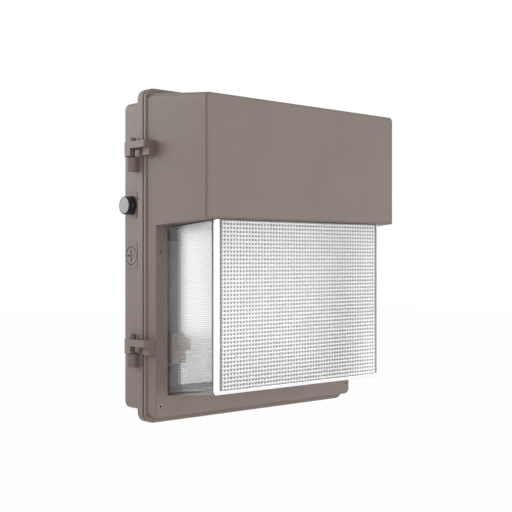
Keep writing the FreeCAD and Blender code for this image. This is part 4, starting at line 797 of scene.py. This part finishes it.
class Coating(Enum):
    """Every opaque finish of the light, with the CAD nodes that wear it."""

    CASTING = (
        Finish("bronze_powder_coat", BRONZE, BRONZE_DARK, 0.5, Grain.ORANGE_PEEL, 0.00002,
               wear_and_highlight_tone=BRONZE_WEAR_AND_HIGHLIGHT, wear_and_highlight=0.5, dust_and_shade=0.6),
        ("rear_housing", "front_door", "reflector_bracket_left", "reflector_bracket_right"),
    )
    # Plugs: more painted shade in the cross slot and round the plug, and lighter edges as wear and painted
    # highlight.
    PLUG = (
        Finish("bronze_plug", srgb(146, 133, 127), srgb(124, 111, 105), 0.5, Grain.ORANGE_PEEL, 0.00002,
               wear_and_highlight_tone=srgb(176, 163, 157), wear_and_highlight=0.8, dust_and_shade=1.0),
        ("conduit_plug_left", "conduit_plug_right"),
    )
    FASTENER = (
        Finish("bronze_painted_steel", srgb(134, 121, 115), srgb(118, 106, 100), 0.42, Grain.MOULDED,
               0.00001, metallic=0.2, wear_and_highlight_tone=srgb(178, 168, 160), wear_and_highlight=0.6, dust_and_shade=0.4),
        ("hinge_pin_upper", "hinge_pin_lower", "closing_screw_upper", "closing_screw_lower",
         "frame_screws"),
    )
    RUBBER = (
        Finish("gasket_rubber", srgb(38, 36, 35), srgb(50, 48, 46), 0.72, Grain.MOULDED, 0.00002),
        ("housing_gasket", "lead_grommets"),
    )
    LENS_GASKET = (
        Finish("grey_silicone", srgb(142, 139, 137), srgb(128, 125, 123), 0.66, Grain.MOULDED, 0.00002),
        ("refractor_gasket",),
    )
    SPONGE = (
        Finish("seal_sponge", srgb(96, 92, 89), srgb(74, 71, 69), 0.9, Grain.SPONGE, 0.0003),
        ("top_seal",),
    )
    ZINC = (
        Finish("zinc_plated_steel", srgb(196, 198, 200), srgb(168, 172, 178), 0.34, Grain.BRUSHED, 0.000008,
               metallic=1.0, wear_and_highlight_tone=srgb(225, 226, 228), wear_and_highlight=0.4, dust_and_shade=0.3),
        ("mounting_rail_left", "mounting_rail_right", "rail_screws", "plate_screws", "driver_screws",
         "terminal_screws", "clip_screws", "frame_nuts"),
    )
    SPRING = (
        Finish("spring_steel", srgb(176, 176, 174), srgb(150, 150, 150), 0.3, Grain.BRUSHED, 0.000008,
               metallic=1.0, wear_and_highlight_tone=srgb(215, 214, 210), wear_and_highlight=0.5),
        ("lens_clips", "corner_clips", "screw_retainer_upper", "screw_retainer_lower", "ground_ring"),
    )
    BLACK = (
        Finish("black_nylon", srgb(38, 38, 40), srgb(50, 50, 52), 0.45, Grain.MOULDED, 0.00002,
               wear_and_highlight_tone=srgb(96, 96, 98), wear_and_highlight=0.5, dust_and_shade=0.2),
        ("photocell_body", "photocell_nut", "photocell_locknut", "photocell_washer"),
    )
    LENS = (
        Finish("photocell_window", srgb(186, 188, 190), srgb(160, 163, 166), 0.5, Grain.MOULDED, 0.00002,
               wear_and_highlight_tone=srgb(225, 227, 228), wear_and_highlight=0.4),
        ("photocell_lens",),
    )
    PLATE = (
        Finish("mill_aluminium", srgb(200, 201, 203), srgb(180, 182, 186), 0.4, Grain.BRUSHED, 0.00001,
               metallic=1.0, wear_and_highlight_tone=srgb(230, 230, 232), wear_and_highlight=0.4, dust_and_shade=0.25),
        ("heat_plate",),
    )
    REFLECTOR = (
        Finish("reflector_white", srgb(250, 250, 250), srgb(246, 246, 246), 0.4, Grain.ORANGE_PEEL, 0.00001,
               wear_and_highlight_tone=srgb(252, 252, 252), wear_and_highlight=0.3, dust_and_shade=0.1),
        ("reflector",),
    )
    BOARD = (
        Finish("white_solder_mask", srgb(236, 238, 236), srgb(226, 229, 226), 0.3, Grain.MOULDED, 0.00001,
               coat=0.2, wear_and_highlight_tone=srgb(196, 190, 160), wear_and_highlight=0.6),
        ("led_board_1", "led_board_2", "led_board_3"),
    )
    DRIVER = (
        Finish("driver_case", srgb(214, 215, 216), srgb(200, 202, 204), 0.42, Grain.ORANGE_PEEL, 0.00002,
               metallic=0.3, wear_and_highlight_tone=srgb(235, 236, 238), wear_and_highlight=0.5, dust_and_shade=0.3),
        ("led_driver",),
    )
    NYLON = (
        Finish("terminal_nylon", srgb(226, 221, 208), srgb(214, 208, 194), 0.5, Grain.MOULDED, 0.00002,
               wear_and_highlight_tone=srgb(240, 237, 228), wear_and_highlight=0.4, dust_and_shade=0.3),
        ("terminal_block",),
    )
    BRASS = (
        Finish("brass_screw", srgb(196, 166, 100), srgb(176, 146, 84), 0.3, Grain.BRUSHED, 0.000008,
               metallic=1.0, wear_and_highlight_tone=srgb(226, 204, 150), wear_and_highlight=0.5),
        ("clamp_screws",),
    )
    GROUND = (
        Finish("ground_screw_green", srgb(52, 128, 66), srgb(40, 108, 54), 0.38, Grain.MOULDED, 0.00001,
               metallic=0.3, wear_and_highlight_tone=srgb(150, 170, 140), wear_and_highlight=0.6),
        ("ground_screw",),
    )
    LEAD_BLACK = (
        Finish("lead_insulation_black", srgb(34, 34, 36), srgb(46, 46, 48), 0.4, Grain.MOULDED,
               0.00002, coat=0.1),
        ("supply_leads", "photocell_leads"),
    )
    LEAD_RED = (
        Finish("lead_insulation_red", srgb(168, 40, 36), srgb(146, 32, 30), 0.4, Grain.MOULDED,
               0.00002, coat=0.1),
        ("led_leads",),
    )
    LEAD_GREEN = (
        Finish("lead_insulation_green", srgb(44, 120, 60), srgb(34, 100, 50), 0.4, Grain.MOULDED,
               0.00002, coat=0.1),
        ("ground_lead",),
    )

    @property
    def finish(self) -> Finish:
        """The finish itself."""
        return self.value[0]

    @property
    def nodes(self) -> tuple[str, ...]:
        """The CAD nodes that wear it."""
        return self.value[1]


def dress_nodes(nodes: dict) -> None:
    """Gives every CAD node its finish.

    Args:
        nodes: the frame's nodes by name.
    """
    for coating in Coating:
        material = coating.finish.material()
        for name in coating.nodes:
            mesh = nodes[name].data
            mesh.materials.clear()
            mesh.materials.append(material)
        LOG.info("%s on %s", coating.finish.name, ", ".join(coating.nodes))


# ---------------------------------------------------------------- studio
@dataclass
class Studio:
    """Pale floor far below the hung light, an even white surround and soft lamps. Lengths are in metres."""

    floor_z: float = -0.95
    floor_half: float = 14.0
    floor_white: float = 0.98   # the rest of the floor's look takes the object's shadow
    surround: float = 0.42

    def seen_directly(self, sheet: Sheet) -> Value:
        """1 for a ray from the camera, or seen in gloss or through glass."""
        path = sheet.node("ShaderNodeLightPath")
        direct = Value(sheet, path.outputs["Is Camera Ray"])
        gloss = Value(sheet, path.outputs["Is Glossy Ray"])
        through = Value(sheet, path.outputs["Is Transmission Ray"])
        settings = {"operation": "ADD", "use_clamp": True}
        return sheet.value("ShaderNodeMath", settings, {0: direct + gloss, 1: through})

    def build_world(self) -> None:
        """White to look at, and plain soft light for everything else."""
        world = bpy.data.worlds.new("white_surround")
        bpy.context.scene.world = world
        sheet = Sheet(world)
        seen = self.seen_directly(sheet)
        strength = self.surround + seen * (1.0 - self.surround)
        white = (1.0, 1.0, 1.0, 1.0)
        shader = sheet.node("ShaderNodeBackground", {}, {"Color": white, "Strength": strength}).outputs[0]
        sheet.node("ShaderNodeOutputWorld", {}, {"Surface": shader})

    def build_floor(self) -> None:
        """Plain pale floor, white where the camera sees it, which takes a shadow."""
        half = self.floor_half
        corners = np.array([(-half, -half), (half, -half), (half, half), (-half, half)])
        points = np.column_stack((corners, np.full(4, self.floor_z)))
        mesh = bpy.data.meshes.new("studio_floor")
        mesh.from_pydata(points.tolist(), [], [[0, 1, 2, 3]])
        material = bpy.data.materials.new("studio_floor")
        sheet = Sheet(material)
        cloud = sheet.noise(0.8, 2.0)
        colour = sheet.blend((0.93, 0.93, 0.93), (0.9, 0.9, 0.9), cloud)
        paint = sheet.node("ShaderNodeBsdfDiffuse", {}, {"Color": colour}).outputs[0]
        white = {"Color": (1.0, 1.0, 1.0, 1.0), "Strength": 1.0}
        glow = sheet.node("ShaderNodeEmission", {}, white).outputs[0]
        share = self.seen_directly(sheet) * self.floor_white
        sheet.finish(sheet.node("ShaderNodeMixShader", {}, {0: share, 1: paint, 2: glow}).outputs[0])
        mesh.materials.append(material)
        floor = bpy.data.objects.new("studio_floor", mesh)
        bpy.context.scene.collection.objects.link(floor)

    def build_lamp(self, name: str, place: Colour, size: float, power: float) -> None:
        """One square soft lamp that faces the light's middle. Rays through glass pass it by.

        Args:
            name: name of the lamp.
            place: where it stands, in metres.
            size: its side, in metres.
            power: its power in watts.
        """
        lamp = bpy.data.lights.new(name, "AREA")
        lamp.size = size
        lamp.energy = power
        holder = bpy.data.objects.new(name, lamp)
        holder.location = place
        holder.rotation_euler = (-Vector(place)).to_track_quat("-Z", "Y").to_euler()
        holder.visible_transmission = False
        bpy.context.scene.collection.objects.link(holder)

    def build(self) -> None:
        """World, floor and lamps."""
        self.build_world()
        self.build_floor()
        self.build_lamp("left_lamp", (-1.3, 2.1, 0.85), 1.8, 31.0)
        self.build_lamp("front_lamp", (2.4, -3.4, 0.0), 2.4, 50.0)
        self.build_lamp("camera_lamp", (-2.3, -2.6, 0.3), 1.6, 12.0)
        LOG.info("studio built")


@dataclass
class Viewpoint:
    """The camera where the photograph was taken: level, 42 degrees to the left of the front."""

    place: Colour = (-0.92024, -1.08703, -0.0035)
    azimuth: float = -42.0
    focal_pixels: float = 996.0
    picture: float = 512.0
    rise_pixels: float = 2.4

    def build(self) -> None:
        """Makes the camera and hands it to the scene."""
        camera = bpy.data.cameras.new("photograph_view")
        camera.lens = camera.sensor_width * self.focal_pixels / self.picture
        camera.shift_y = self.rise_pixels / self.picture
        camera.clip_start = 0.01
        camera.clip_end = 100.0
        turn = math.radians(self.azimuth)
        ahead = Vector((-math.sin(turn), math.cos(turn), 0.0))
        holder = bpy.data.objects.new("photograph_view", camera)
        holder.location = self.place
        holder.rotation_euler = ahead.to_track_quat("-Z", "Y").to_euler()
        bpy.context.scene.collection.objects.link(holder)
        bpy.context.scene.camera = holder
        LOG.info("camera at %s", self.place)


def corners(bounds: tuple) -> list:
    """Plain lists of a box's two corners."""
    return [list(dust_and_shade_mask) for dust_and_shade_mask in bounds]


def main() -> None:
    """Builds the whole picture around the CAD frame."""
    logging.basicConfig(level=logging.INFO)
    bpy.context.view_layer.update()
    bpy.context.scene.view_settings.view_transform = "Standard"
    Viewpoint().build()
    Studio().build()
    dress_nodes(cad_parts)
    Refractor().build()
    dome = Finish("led_phosphor", srgb(240, 200, 70), srgb(228, 184, 58), 0.3, Grain.MOULDED, 0.00001,
                  coat=0.5)
    LedPackages().build([bpy.data.materials[Coating.BOARD.finish.name], dome.material()])


if __name__ == "__main__":
    main()
